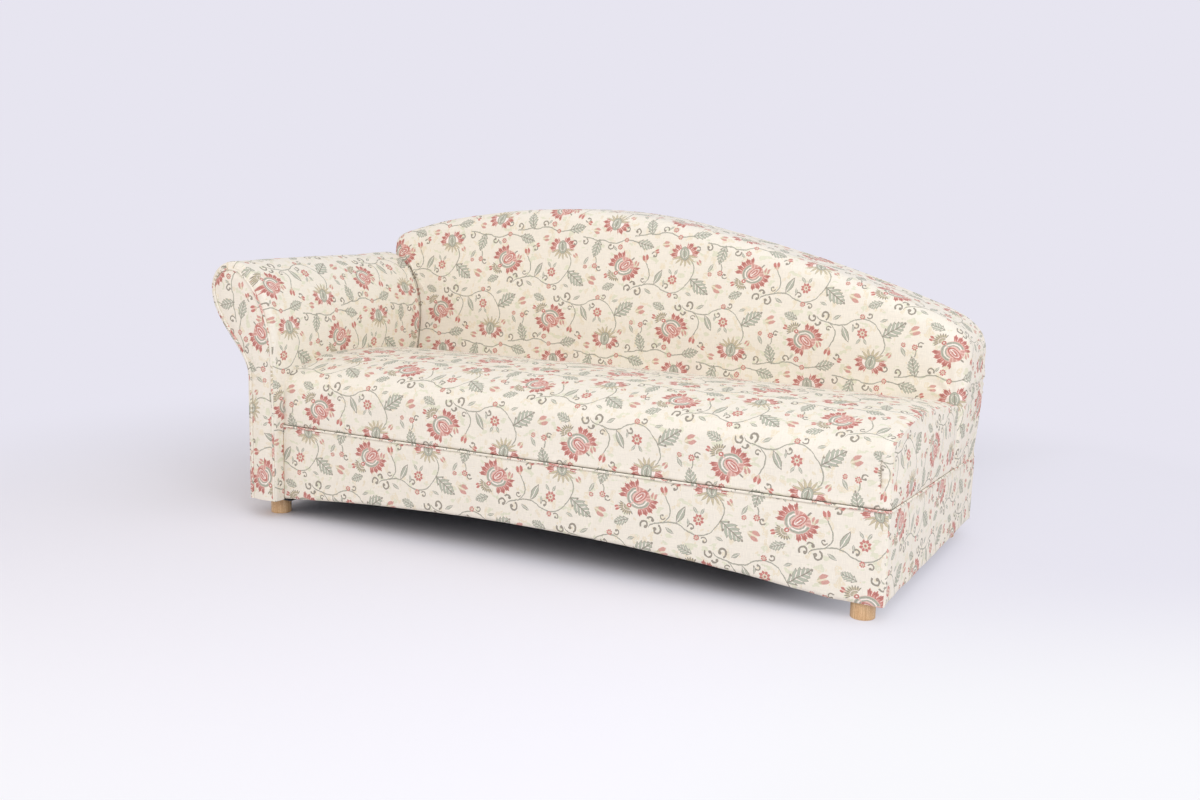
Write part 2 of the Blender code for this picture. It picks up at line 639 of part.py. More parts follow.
def make_back(finish):
    """Boards, ribs, top rail, pads and cloth of the back."""
    foot = back_foot()
    cover_rear = REAR - BEHIND_COVER
    rows = FACE_ROWS + ROUND_STEPS + 2

    outer, count = back_skin(0.0, upright(cover_rear), foot)
    inner, _ = back_skin(COVER, upright(cover_rear), foot)
    last = rows * count - 1
    for points in (outer, inner):
        x, y, _ = points[last]
        points[last] = (x, y, seam(y) + SEAM_HALF)
    shell("back_cover", outer, inner, back_faces(rows, count), finish["cloth"])

    points, count = back_skin(COVER + EASE, leaning(BACK_PAD - CLEARANCE), foot)
    faces = back_faces(rows, count)
    rear_row = (rows - 1) * count
    faces.append(list(range(rear_row, rear_row + count)))
    left_column = [row * count for row in range(rows - 1, FACE_ROWS - 1, -1)]
    right_column = [row * count + count - 1 for row in range(FACE_ROWS, rows)]
    faces.append([*left_column, *range(1, count - 1), *right_column])
    used = sorted({i for face in faces for i in face})
    place = {i: n for n, i in enumerate(used)}
    faces = [[place[i] for i in face] for face in faces]
    closed_body("back_foam", [points[i] for i in used], faces, finish["foam"])

    edge = back_outline(foot)
    near = leaning(BACK_PAD)
    rings = []
    for high, low in zip(inset(edge, COVER + EASE), inset(edge, COVER + EASE + TOP_PAD)):
        ring = [(x, near(z), z) for x, z in (high, low)]
        rings.append(ring + [(x, cover_rear, z) for x, z in (low, high)])
    loft("back_top_pad", rings, finish["foam"])

    board = inset(back_outline(STRAP_BOTTOM), BACK_BOARD_INSET)
    plate("back_front_board", board, leaning(BACK_PAD), leaning(BACK_PAD + BACK_BOARD), finish["plywood"])
    board = inset(back_outline(FRAME_BOTTOM), BACK_BOARD_INSET)
    plate("back_rear_board", board, upright(REAR_BOARD), upright(REAR_BOARD + BACK_BOARD), finish["plywood"])

    front, rear = leaning(BACK_PAD + BACK_BOARD + CLEARANCE), REAR_BOARD - CLEARANCE
    start = 1 + 2 * CURVE_STEPS
    hump = slice(start, start + len(back_hump()))
    lower = inset(edge, BACK_BOARD_INSET + TOP_RAIL)[hump]
    rings = []
    for high, low in zip(inset(edge, BACK_BOARD_INSET)[hump], lower):
        ring = [(x, front(z), z) for x, z in (high, low)]
        rings.append(ring + [(x, rear, z) for x, z in (low, high)])
    loft("back_top_rail", rings, finish["plywood"])

    left, right = BACK_WIDEST + RIB_FROM_LEFT, RIGHT - RIB_FROM_RIGHT
    for number, middle in enumerate(np.linspace(left, right, RIB_COUNT), 1):
        rings = []
        for x in (middle - RIB / 2, middle + RIB / 2):
            top = float(np.interp(x, lower[:, 0], lower[:, 1])) - CLEARANCE
            low = STRAP_BOTTOM
            section = [(front(low), low), (rear, low), (rear, top), (front(top), top)]
            rings.append([(x, y, z) for y, z in section])
        loft(f"back_rib_{number}", rings, finish["plywood"])

    plate("back_outside_cloth", back_outline(HEM), upright(REAR - COVER), upright(REAR), finish["cloth"])


def arm_roll():
    """The arm's scroll in X and Z, from the foot of the outer flare over the top and down the inner side."""
    outside, nose = (ARM_OUT, ARM_FLARE_HEIGHT), (LEFT, ARM_NOSE_HEIGHT)
    ridge = (ARM_IN - ARM_RIDGE, ARM_HEIGHT)
    under, over = ARM_NOSE_HEIGHT - ARM_FLARE_HEIGHT, ARM_HEIGHT - ARM_NOSE_HEIGHT
    leave_post = (ARM_OUT, outside[1] + FLARE_HANDLE * under)
    flare = bezier(outside, leave_post, (LEFT, nose[1] - NOSE_UNDER_HANDLE * under), nose)
    reach_ridge = (ridge[0] - RIDGE_HANDLE * (ridge[0] - LEFT), ARM_HEIGHT)
    top = bezier(nose, (LEFT, nose[1] + NOSE_OVER_HANDLE * over), reach_ridge, ridge)
    rounding = []
    for angle in np.linspace(0, math.pi / 2, CURVE_STEPS + 1):
        z = ARM_HEIGHT - ARM_INNER_CURVE * (1 - math.cos(angle))
        rounding.append((ridge[0] + ARM_RIDGE * math.sin(angle), z))
    return np.vstack([flare, top, rounding, [(ARM_IN, ARM_FLARE_HEIGHT), (ARM_IN, FOAM_BOTTOM)]])


def arm_outline(bottom):
    return np.vstack([[(ARM_OUT, bottom)], arm_roll(), [(ARM_IN, bottom)]])


def make_arm(finish, left_rail):
    """Boards, rails, foam, cloth, piping and bolts of the arm. Returns the board that its leg is held by."""
    cloth, pine, plywood = finish["cloth"], finish["pine"], finish["plywood"]
    behind_rear = CLEARANCE + BEHIND_COVER
    front_board = (ARM_COVER_FRONT, ARM_COVER_FRONT + ARM_BOARD)
    board = inset(arm_outline(FRAME_BOTTOM), ARM_BOARD_INSET)
    plate("arm_front_board", board, upright(front_board[0]), upright(front_board[1]), plywood)
    rear_face = leaning(-behind_rear - ARM_BOARD)
    plate("arm_rear_board", board, rear_face, leaning(-behind_rear), plywood)

    start = front_board[1] + CLEARANCE
    rear = rear_face(FRAME_BOTTOM) - CLEARANCE
    outer_board = (ARM_OUT + BEHIND_COVER, ARM_OUT + BEHIND_COVER + ARM_PAD)
    bottom_top = FRAME_BOTTOM + ARM_BOTTOM_BOARD
    across = (outer_board[1] + CLEARANCE, ARM_IN - BEHIND_COVER)
    bottom_board = box("arm_bottom_board", across, (start, rear), (FRAME_BOTTOM, bottom_top), pine)
    across, height = (ARM_IN - ARM_RAIL, ARM_IN), (bottom_top + CLEARANCE, RAIL_TOP)
    arm_rail = box("arm_bolting_rail", across, (SEAT_FRONT, rear), height, pine)
    left, right = outer_board
    top = ARM_FLARE_HEIGHT - CLEARANCE
    side = [(left, FRAME_BOTTOM), (right, FRAME_BOTTOM), (right, top), (left, top)]
    edge = upright(ARM_COVER_FRONT + ARM_EDGE_ROOM)
    plate("arm_outer_board", side, edge, leaning(-behind_rear), plywood)

    low = ARM_NOSE_HEIGHT - BATTEN / 2
    left = ARM_IN - ARM_RIDGE - BATTEN / 2
    run = (start, rear_face(low) - CLEARANCE)
    box("arm_roll_batten", (left, left + BATTEN), run, (low, low + BATTEN), pine)

    outside = inset(arm_roll(), COVER + EASE)
    inside = inset(arm_roll(), COVER + EASE + ARM_PAD)
    ring = np.vstack([outside, inside[::-1]])
    plate("arm_foam", ring, upright(ARM_COVER_FRONT), leaning(-behind_rear - EASE), finish["foam"])

    make_arm_cover(cloth)
    outer_cloth = (ARM_OUT, ARM_OUT + COVER)
    height = (ARM_HEM, ARM_FLARE_HEIGHT - CLEARANCE)
    box("arm_outside_cloth", outer_cloth, (ARM_COVER_FRONT, REAR - BEHIND_COVER), height, cloth)

    facing = inset(arm_outline(ARM_HEM), WELT_FROM_EDGE + WELT_RADIUS + CLEARANCE)
    face = ARM_COVER_FRONT - CLEARANCE
    plate("arm_facing", facing, upright(face - COVER), upright(face), cloth)
    path = [(x, FRONT + WELT_RADIUS, z) for x, z in inset(arm_outline(ARM_HEM), WELT_FROM_EDGE)]
    piping("arm_welt", path, cloth)

    head = LEFT_RAIL + RAIL + CLEARANCE
    shank = RAIL + 2 * CLEARANCE + BOLT_IN_ARM
    profile = [
        (BOLT_HEAD_RADIUS, -BOLT_HEAD),
        (BOLT_HEAD_RADIUS, 0.0),
        (BOLT_RADIUS, 0.0),
        (BOLT_RADIUS, shank),
    ]
    first, last = SEAT_FRONT + BOLT_FROM_ENDS, rear - BOLT_FROM_ENDS
    for number, y in enumerate(np.linspace(first, last, BOLT_COUNT), 1):
        centre = (head, float(y), BOLT_HEIGHT)
        turned(f"arm_bolt_{number}", profile, centre, "X", STUD_STEPS, finish["steel"])
        for timber in (left_rail, arm_rail):
            drill(timber, centre, "X", BOLT_RADIUS + CLEARANCE, shank + CLEARANCE)
    return bottom_board


def make_arm_cover(cloth):
    """Cloth over the arm's scroll, a strip of it in front of the seat, and a closed rear end."""
    roll = arm_roll()
    line = np.vstack([roll, [(ARM_IN, ARM_HEM)]])
    rows = len(line)
    skins = []
    for depth in (0.0, COVER):
        moved = inset(line, depth)
        planes = (upright(ARM_COVER_FRONT), upright(SEAT_FRONT - CLEARANCE), leaning(-CLEARANCE - depth))
        skins.append([(x, plane(z), z) for plane in planes for x, z in moved])
    faces = []
    for station in range(2):
        for row in range(rows - 1 - station):
            a = station * rows + row
            faces.append([a, a + 1, a + rows + 1, a + rows])
    rear = 2 * rows
    faces.append(list(range(rear, rear + rows - 2)))
    shell("arm_cover", skins[0], skins[1], faces, cloth)


def main():
    for old in list(bpy.data.objects):
        bpy.data.objects.remove(old, do_unlink=True)
    finish = make_finishes()
    left_rail, blocks, dust_cloths = make_base(finish)
    make_seat(finish)
    make_back(finish)
    blocks["front_left"] = make_arm(finish, left_rail)
    make_legs(finish, blocks, dust_cloths)


main()
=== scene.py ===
# %% [markdown]
# # A one-armed sofa in floral cloth
#
# A long sofa with a scroll arm at one end, a humped back that falls away to the open end, a fixed seat and a
# frame that is covered in woven floral cloth. The timber frame comes from the CAD model. This lesson dresses
# it: padded covers, border cloth, piping, legs and every finish. Metres, +Z up, the front faces -Y.

import json
import math

import bmesh
import bpy
import numpy as np
from mathutils import Matrix, Vector, noise


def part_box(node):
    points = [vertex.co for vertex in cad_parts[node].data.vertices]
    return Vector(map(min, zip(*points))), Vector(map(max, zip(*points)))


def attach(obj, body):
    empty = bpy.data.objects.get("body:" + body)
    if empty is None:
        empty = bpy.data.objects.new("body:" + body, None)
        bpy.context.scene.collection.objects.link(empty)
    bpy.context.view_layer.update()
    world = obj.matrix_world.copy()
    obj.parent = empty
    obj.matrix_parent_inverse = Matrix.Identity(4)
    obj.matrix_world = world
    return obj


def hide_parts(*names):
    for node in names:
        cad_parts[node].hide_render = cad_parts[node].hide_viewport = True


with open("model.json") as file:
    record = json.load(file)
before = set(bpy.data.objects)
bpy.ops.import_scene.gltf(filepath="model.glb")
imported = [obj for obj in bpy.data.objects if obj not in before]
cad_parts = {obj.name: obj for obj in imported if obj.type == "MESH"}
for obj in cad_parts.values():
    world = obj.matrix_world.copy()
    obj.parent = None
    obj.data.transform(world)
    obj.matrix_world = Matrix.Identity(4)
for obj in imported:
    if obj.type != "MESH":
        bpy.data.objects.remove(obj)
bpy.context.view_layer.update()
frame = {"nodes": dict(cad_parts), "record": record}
nodes = frame["nodes"]
scene = bpy.context.scene
scene.view_settings.view_transform = "Standard"

# %% [markdown]
# ## Camera
#
# The camera stands to the right of the sofa's middle, a little above its top, and looks slightly down. Its
# place and turn were found by matching corners of the sofa, so the picture lines up with the model.

# %% Camera
EYE = (1.6399, -3.1365, 0.9613)
LENS, SENSOR = 38.47, 36.0  # mm
TURN, DOWN, ROLL = 27.309, 9.789, 1.551  # degrees to the left, downwards and about the line of sight

eye = bpy.data.objects.new("camera", bpy.data.cameras.new("camera"))
eye.data.lens = LENS
eye.data.sensor_width = SENSOR
turn = Matrix.Rotation(math.radians(TURN), 4, "Z")
tilt = Matrix.Rotation(math.radians(90 - DOWN), 4, "X")
roll = Matrix.Rotation(math.radians(ROLL), 4, "Z")
eye.matrix_world = Matrix.Translation(EYE) @ turn @ tilt @ roll
scene.collection.objects.link(eye)
scene.camera = eye
print("camera at", tuple(round(c, 2) for c in eye.matrix_world.translation))

# %% [markdown]
# ## Colours and nodes
#
# Colours are written as the sRGB codes that one would pick from a swatch. Blender's shaders work in linear
# light, so one function turns a code into linear numbers. A second one adds a shader node to the tree at
# hand: its inputs in order, either another node's output, which is linked, or a plain value, which is set.


# %% Helpers for materials
def linear(code):
    """An sRGB code such as #F1E7D3 as a linear colour with alpha."""
    parts = [int(code[i : i + 2], 16) / 255 for i in (1, 3, 5)]
    return (*[part / 12.92 if part <= 0.04045 else ((part + 0.055) / 1.055) ** 2.4 for part in parts], 1.0)


def add(kind, *values, **settings):
    """Adds a node to the tree and returns its first output. None leaves an input as it is."""
    node = tree.nodes.new(kind)
    for key, value in settings.items():
        setattr(node, key, value)
    for socket, value in zip([socket for socket in node.inputs if socket.enabled], values):
        if isinstance(value, bpy.types.NodeSocket):
            tree.links.new(value, socket)
        elif value is not None:
            socket.default_value = value
    return next((socket for socket in node.outputs if socket.enabled), None)


def empty_tree(owner):
    owner.use_nodes = True
    owner.node_tree.nodes.clear()
    return owner.node_tree


MATH, VECTOR, MIX = "ShaderNodeMath", "ShaderNodeVectorMath", "ShaderNodeMix"

# %% [markdown]
# ## Studio
#
# A pale floor runs into a pale lavender wall without an edge. A real studio does that with a curved paper
# sweep. Here the floor is one large disc that turns into the wall's colour with distance, and the world has
# that colour wherever the camera looks past the floor, so the other views have the same plain ground.

# %% Floor and wall colour
WALL = linear("#E7E5F0")
SWEEP_START, SWEEP_END = 1.2, 2.6  # metres from the middle, where the floor takes on the wall's even tone
BRIGHT_START, BRIGHT_END = 0.25, 1.5  # metres ahead of the sofa, where a painted pool of light turns the floor nearly white
GLOW_START, GLOW_END = 3.5, 9.0  # metres from the middle, where that white turns into the wall's tone
FADE_START, FADE_END, FADE = 0.55, 1.15, 0.85  # metres to the right, where the floor's shadow is painted over with the wall's even tone
TO_CAMERA = (0.45, -0.89, 0.0)  # direction from the sofa towards the camera, on the floor


def background_rays():
    """1 for rays that see the background: from the camera, in mirrors and through glass."""
    rays = add("ShaderNodeLightPath").node.outputs
    seen = add(MATH, rays["Is Camera Ray"], rays["Is Glossy Ray"], operation="MAXIMUM")
    return add(MATH, seen, rays["Is Transmission Ray"], operation="MAXIMUM")


paper = bpy.data.materials.new("studio_paper_matt")
tree = empty_tree(paper)
place = add("ShaderNodeNewGeometry")
away = add(VECTOR, place, operation="LENGTH")
sweep = add("ShaderNodeMapRange", away, SWEEP_START, SWEEP_END, 0.0, 1.0, interpolation_type="SMOOTHSTEP")
right = add(VECTOR, place, (1.0, 0.0, 0.0), operation="DOT_PRODUCT")
# Painted light: to the right of the sofa the floor's shadow is painted over with the wall's even tone.
shadow_painted_over = add("ShaderNodeMapRange", right, FADE_START, FADE_END, 0.0, FADE, interpolation_type="SMOOTHSTEP")
sweep = add(MATH, sweep, shadow_painted_over, operation="MAXIMUM")
ahead = add(VECTOR, place, TO_CAMERA, operation="DOT_PRODUCT")
# Painted light: ahead of the sofa the floor's colour and its glow for the camera are painted brighter.
bright = add("ShaderNodeMapRange", ahead, BRIGHT_START, BRIGHT_END, 0.0, 1.0, interpolation_type="SMOOTHSTEP")
glow = add("ShaderNodeMapRange", away, GLOW_START, GLOW_END, 1.0, 0.0, interpolation_type="SMOOTHSTEP")
bright = add(MATH, bright, glow, operation="MULTIPLY")
lit = add(MIX, bright, linear("#EBEAF0"), linear("#EEEDF2"), data_type="RGBA")
glowing = add(MIX, bright, WALL, linear("#F9F9FC"), data_type="RGBA")
matt = add("ShaderNodeBsdfDiffuse", lit, 0.0)
wall = add("ShaderNodeEmission", glowing, 1.0)
share = add(MATH, background_rays(), sweep, operation="MULTIPLY")
add("ShaderNodeOutputMaterial", add("ShaderNodeMixShader", share, matt, wall))
print("paper:", len(tree.nodes), "nodes")

# %% Floor disc
FLOOR_RADIUS, FLOOR_SIDES = 40.0, 96
mesh = bpy.data.meshes.new("studio_floor")
ring = [2 * math.pi * step / FLOOR_SIDES for step in range(FLOOR_SIDES)]
edge = [(FLOOR_RADIUS * math.cos(angle), FLOOR_RADIUS * math.sin(angle), 0) for angle in ring]
mesh.from_pydata(edge, [], [list(range(FLOOR_SIDES))])
mesh.materials.append(paper)
floor = bpy.data.objects.new("studio_floor", mesh)
scene.collection.objects.link(floor)

print("floor", 2 * FLOOR_RADIUS, "m across")

# %% World
ROOM_LIGHT = 0.72  # how strongly the pale room around the sofa lights it

scene.world = bpy.data.worlds.new("studio")
tree = empty_tree(scene.world)
room = add("ShaderNodeBackground", linear("#F3F3F8"), ROOM_LIGHT)
wall = add("ShaderNodeBackground", WALL, 1.0)
add("ShaderNodeOutputWorld", add("ShaderNodeMixShader", background_rays(), room, wall))
print("world made")

# %% [markdown]
# Large soft boxes light the sofa: the main one high on the right in front, a weaker and warmer one on the
# left, one above and a faint one beside the open end. Large lamps give the soft edge of shadow that studio
# pictures of furniture have.

# %% Soft boxes
AIM = Vector((0, 0, 0.4))  # the middle of the seat
SOFT_BOXES = {
    "main_soft_box": ((2.5, -2.9, 3.0), 3.2, 74.0, "#FBFCFF"),
    "fill_soft_box": ((-2.6, -3.2, 2.4), 2.8, 28.0, "#FFE9CE"),
    "top_soft_box": ((1.2, -0.4, 4.2), 3.0, 26.0, "#F6F9FF"),
    "side_soft_box": ((3.2, 0.5, 0.9), 1.6, 6.0, "#FFEED6"),
}
for name, (at, side, watts, tint) in SOFT_BOXES.items():
    lamp = bpy.data.lights.new(name, "AREA")
    lamp.size = side
    lamp.energy = watts
    lamp.color = linear(tint)[:3]
    box = bpy.data.objects.new(name, lamp)
    box.location = at
    box.rotation_euler = (AIM - Vector(at)).to_track_quat("-Z", "Y").to_euler()
    scene.collection.objects.link(box)
print(len(SOFT_BOXES), "soft boxes")

# %% [markdown]
# ## The floral cloth
#
# The covers are a jacquard: a loom weaves coloured flowers into a cream satin ground. The drawing repeats
# every 400 mm along the cloth, and every second row is the mirror image of the one below it. It could be
# painted as an image, but drawn with nodes it stays sharp at any distance. So the cloth's own coordinates,
# in millimetres, are folded into one tile first, and all motifs are drawn in that tile.

# %% Fold the cloth into one tile
REPEAT = 400.0  # mm, along the cloth
ROW = 170.0  # mm, height of one row of flowers
STEP_ASIDE = 170.0  # mm, by which every second row is moved
WOBBLE_SIZE, WOBBLE = 10.0, 5.0  # mm, length and height of the waves that make the woven outlines uneven

CREAM, PALE, GHOST, STRAW = linear("#F0E9DA"), linear("#F6ECE2"), linear("#EADFC6"), linear("#E2E0C8")
RUST, CORAL, ROSE, PINK = linear("#B97A71"), linear("#CD887E"), linear("#D9A79B"), linear("#EAC6B9")
SAGE, TAUPE, OCHRE = linear("#BABDAB"), linear("#A29B8D"), linear("#CFC3A4")

jacquard = bpy.data.materials.new("cotton_jacquard_woven")
tree = empty_tree(jacquard)
laid = add("ShaderNodeUVMap", uv_map="Cloth")
thread = add(VECTOR, laid, 1000.0, operation="SCALE")
along, across = add("ShaderNodeSeparateXYZ", thread).node.outputs[:2]
row = add(MATH, add(MATH, across, ROW, operation="DIVIDE"), operation="FLOOR")
odd = add(MATH, row, 2.0, operation="FLOORED_MODULO")
moved = add(MATH, odd, -STEP_ASIDE, along, operation="MULTIPLY_ADD")
x = add(MATH, moved, REPEAT, operation="FLOORED_MODULO")
y = add(MATH, add(MATH, across, ROW, operation="PINGPONG"), ROW / 2, operation="SUBTRACT")
wobble = add("ShaderNodeTexNoise", add(VECTOR, thread, 1 / WOBBLE_SIZE, operation="SCALE"), 1.0, 3.0, 0.6)
wobble = add(VECTOR, wobble.node.outputs["Color"], (0.5, 0.5, 0.5), operation="SUBTRACT")
tile = add(VECTOR, wobble, (WOBBLE, WOBBLE, 0.0), add("ShaderNodeCombineXYZ", x, y), operation="MULTIPLY_ADD")
x, y = add("ShaderNodeSeparateXYZ", tile).node.outputs[:2]
print("tile of", REPEAT, "by", 2 * ROW, "mm")

# %% [markdown]
# Small motifs come back several times in a tile. For each place the tile is moved, turned and scaled to the
# motif's own coordinates, and where the point is near that place these replace the others, so one drawing
# serves all places. A motif is then painted in layers: a colour covers what lies below it wherever all of its
# measures are within their ranges.


# %% Places and layers of a motif
def at_places(places, reach):
    """The point in coordinates of the place that it is near: (x mm, y mm, turn in degrees, size mm)."""
    local = (999.0, 999.0, 0.0)
    for px, py, angle, size in places:
        spin = (0.0, 0.0, math.radians(angle))
        here = add("ShaderNodeMapping", tile, (px, py, 0), spin, (size, size, 1), vector_type="TEXTURE")
        near = add(MATH, add(VECTOR, here, operation="LENGTH"), reach, operation="LESS_THAN")
        local = add(MIX, near, local, here, data_type="VECTOR")
    return local


def measures(local):
    """Distance along a motif's axis and to either side of it, the angle from its tip, and from its middle."""
    ahead, side = add("ShaderNodeSeparateXYZ", local).node.outputs[:2]
    side = add(MATH, side, operation="ABSOLUTE")
    angle = add(MATH, side, ahead, operation="ARCTAN2")
    return ahead, side, angle, add(VECTOR, local, operation="LENGTH")


def layered(colour, layers):
    """Paints layers of (colour, (measure, from, to), ...) over a colour."""
    for over, *ranges in layers:
        mask = None
        for value, low, high in ranges:
            inside = add(MATH, value, (low + high) / 2, (high - low) / 2, operation="COMPARE")
            mask = add(MATH, mask, inside, operation="MULTIPLY") if mask else inside
        colour = add(MIX, mask, colour, over, data_type="RGBA")
    return colour


FAR = 9999.0  # further than any motif reaches

# %% [markdown]
# The vines are lines that wander through the tile. A curve widget gives the line's height at every place
# along it, or its place at every height where it climbs, and the points within a millimetre or two of it
# are vine. Behind them, pale ochre scrolls lie half hidden in the ground, as soft blotches of their own.


# %% Vines and pale scrolls
def off_line(run, climb, knots):
    """How far a point lies to one side of a line through knots that gives climb for run."""
    start, end = knots[0][0], knots[-1][0]
    low, high = min(k[1] for k in knots) - 1, max(k[1] for k in knots) + 1
    share = add("ShaderNodeMapRange", run, start, end, 0.0, 1.0)
    line = add("ShaderNodeFloatCurve", 1.0, share).node
    marks = [((k - start) / (end - start), (c - low) / (high - low)) for k, c in knots]
    bend = line.mapping.curves[0].points
    bend[0].location, bend[1].location = marks[0], marks[-1]
    for mark in marks[1:-1]:
        bend.new(*mark)
    line.mapping.update()
    path = add(MATH, line.outputs[0], high - low, low, operation="MULTIPLY_ADD")
    return add(MATH, climb, path, operation="SUBTRACT")


VINES = [
    (x, y, [(92, -68), (108, -56), (126, -52), (150, -47), (170, -49), (192, -61), (218, -69)]),
    (x, y, [(218, -69), (244, -62), (265, -42)]),
    (y, x, [(-46, 262), (-32, 273), (-15, 282), (2, 286), (14, 283), (26, 274)]),
    (y, x, [(-52, 124), (-40, 141), (-26, 148), (-10, 146), (4, 139), (16, 133)]),
    (x, y, [(0, 69), (14, 66), (26, 66), (45, 72), (66, 77), (90, 74), (112, 66)]),
    (x, y, [(318, 80), (345, 77), (366, 72), (386, 73), (400, 69)]),
    (y, x, [(-2, 366), (8, 370), (22, 366)]),
]
blotch = add("ShaderNodeTexNoise", add(VECTOR, thread, (0.045, 0.036, 1.0), operation="MULTIPLY"), 1.0, 2.0)
other = add("ShaderNodeTexNoise", add(VECTOR, thread, (0.034, 0.048, 1.0), operation="MULTIPLY"), 1.0, 2.0)
scrolls = [(GHOST, (blotch, 0.61, 1.0)), (STRAW, (other, 0.62, 1.0)), (CREAM, (blotch, 0.655, 0.675))]
colour = layered(CREAM, scrolls)
for run, climb, knots in VINES:
    aside, reach = off_line(run, climb, knots), (run, knots[0][0], knots[-1][0])
    colour = layered(colour, [(TAUPE, (aside, -1.5, 1.5), reach), (SAGE, (aside, -0.2, 0.9), reach)])

TENDRILS = [
    (98, -50, 150, 14),
    (114, -71, 300, 15),
    (82, -63, 80, 14),
    (380, -10, 200, 10),
    (158, 38, 30, 11),
    (12, 56, 250, 12),
    (204, -50, 60, 11),
    (292, 60, 40, 11),
    (238, -78, 20, 10),
    (128, -36, 210, 9),
    (326, 66, 300, 12),
]
local = at_places(TENDRILS, 1.2)
ahead, side = add("ShaderNodeSeparateXYZ", local).node.outputs[:2]
angle = add(MATH, side, ahead, operation="ARCTAN2")
coil = add(MATH, angle, -0.1, add(VECTOR, local, operation="LENGTH"), operation="MULTIPLY_ADD")
knob = add(VECTOR, local, (-0.28, -0.22, 0.0), operation="DISTANCE")
colour = layered(colour, [(TAUPE, (coil, 0.46, 0.78), (angle, -FAR, 2.3)), (TAUPE, (knob, -1, 0.30))])
print(len(VINES), "vines and", len(TENDRILS), "tendrils")

# %% [markdown]
# Leaves are drawn from their width: a cosine gives a pointed oval, and on the feathered ones a slanted zigzag
# cuts the edge into barbs and leaves pale veins between them.

# %% Leaves
FEATHERS = [(306, -45, -35, 74), (367, 48, 256, 58), (126, 66, -14, 56), (18, -62, 200, 44)]
BARB = 1 / 11
ahead, side, _, _ = measures(at_places(FEATHERS, 0.58))
belly = add(MATH, add(MATH, ahead, math.pi, operation="MULTIPLY"), operation="COSINE")
barb = add(MATH, add(MATH, side, -1.0, ahead, operation="MULTIPLY_ADD"), BARB, operation="PINGPONG")
width = add(MATH, add(MATH, barb, 0.11 / BARB, 0.19, operation="MULTIPLY_ADD"), belly, operation="MULTIPLY")
room = add(MATH, width, side, operation="SUBTRACT")
leaf = (room, 0, FAR)
inside = (room, 0.022, FAR)
lace = [(PALE, inside, (barb, -1, 0.22 * BARB)), (TAUPE, leaf, (side, -1, 0.018))]
colour = layered(colour, [(TAUPE, leaf), (SAGE, inside), *lace])

LANCES = [
    (176, -25, 63, 50),
    (213, -8, 125, 20),
    (231, -9, 60, 20),
    (336, 10, 240, 28),
    (29, 50, 130, 18),
    (148, -68, 330, 26),
    (196, -40, 100, 18),
    (276, -68, 340, 22),
]
ahead, side, _, _ = measures(at_places(LANCES, 0.55))
belly = add(MATH, add(MATH, ahead, math.pi, operation="MULTIPLY"), operation="COSINE")
room = add(MATH, add(MATH, belly, 0.18, operation="MULTIPLY"), side, operation="SUBTRACT")
leaf = [(room, 0, FAR), (ahead, -0.5, 0.5)]
heart = [(room, 0.035, FAR), (ahead, -0.45, 0.4)]
colour = layered(colour, [(TAUPE, *leaf), (SAGE, *heart), (PALE, *heart, (side, -1, 0.02))])
print(len(FEATHERS), "feathered and", len(LANCES), "plain leaves")

# %% [markdown]
# A daisy's edge moves in and out with the angle round its middle. A bud is half of a sine wave with a notch
# at its tip and an ochre foot.

# %% Daisies and buds
DAISIES = [
    (222, -30, 0, 15),
    (44, 56, 20, 9),
    (62, 77, 0, 8),
    (218, -74, 0, 8),
    (366, -4, 0, 9),
    (335, -8, 0, 7),
]
PETAL = math.pi / 8
_, _, angle, reach = measures(at_places(DAISIES, 1.1))
scallop = add(MATH, angle, PETAL, operation="PINGPONG")
room = add(MATH, add(MATH, scallop, 0.3 / PETAL, 0.7, operation="MULTIPLY_ADD"), reach, operation="SUBTRACT")
gaps = (PINK, (room, 0.1, FAR), (scallop, -1, 0.3 * PETAL))
middle = [(STRAW, (reach, -1, 0.40)), (CORAL, (reach, -1, 0.20))]
colour = layered(colour, [(CORAL, (room, 0, FAR)), gaps, *middle])

BUDS = [(131, 26, 105, 26), (164, 48, 20, 18), (8, -30, 200, 18)]
PALE_BUDS = [(360, -46, -20, 34), (104, 8, 70, 22), (300, 22, 130, 20), (190, 70, 10, 26)]
for places, petal, core in ((BUDS, CORAL, PINK), (PALE_BUDS, ROSE, GHOST)):
    ahead, side, _, _ = measures(at_places(places, 0.6))
    belly = add(MATH, add(MATH, ahead, 2.6, 1.3, operation="MULTIPLY_ADD"), operation="SINE")
    room = add(MATH, add(MATH, belly, 0.36, operation="MULTIPLY"), side, operation="SUBTRACT")
    notch = add(MATH, side, -1.1, ahead, operation="MULTIPLY_ADD")
    bud = [(room, 0, FAR), (notch, -FAR, 0.22), (ahead, -0.5, 0.5)]
    foot = (OCHRE, (room, 0, FAR), (ahead, -0.5, -0.15))
    colour = layered(colour, [(petal, *bud), foot, (core, *bud, (side, -1, 0.07))])
print(len(DAISIES), "daisies and", len(BUDS) + len(PALE_BUDS), "buds")

# %% [markdown]
# The great flower sits aslant in the tile. Round its middle: a drop of coral and pink, a grey-green band that
# is open towards the stem, toothed petals on both flanks, and a small carnation before the tip.

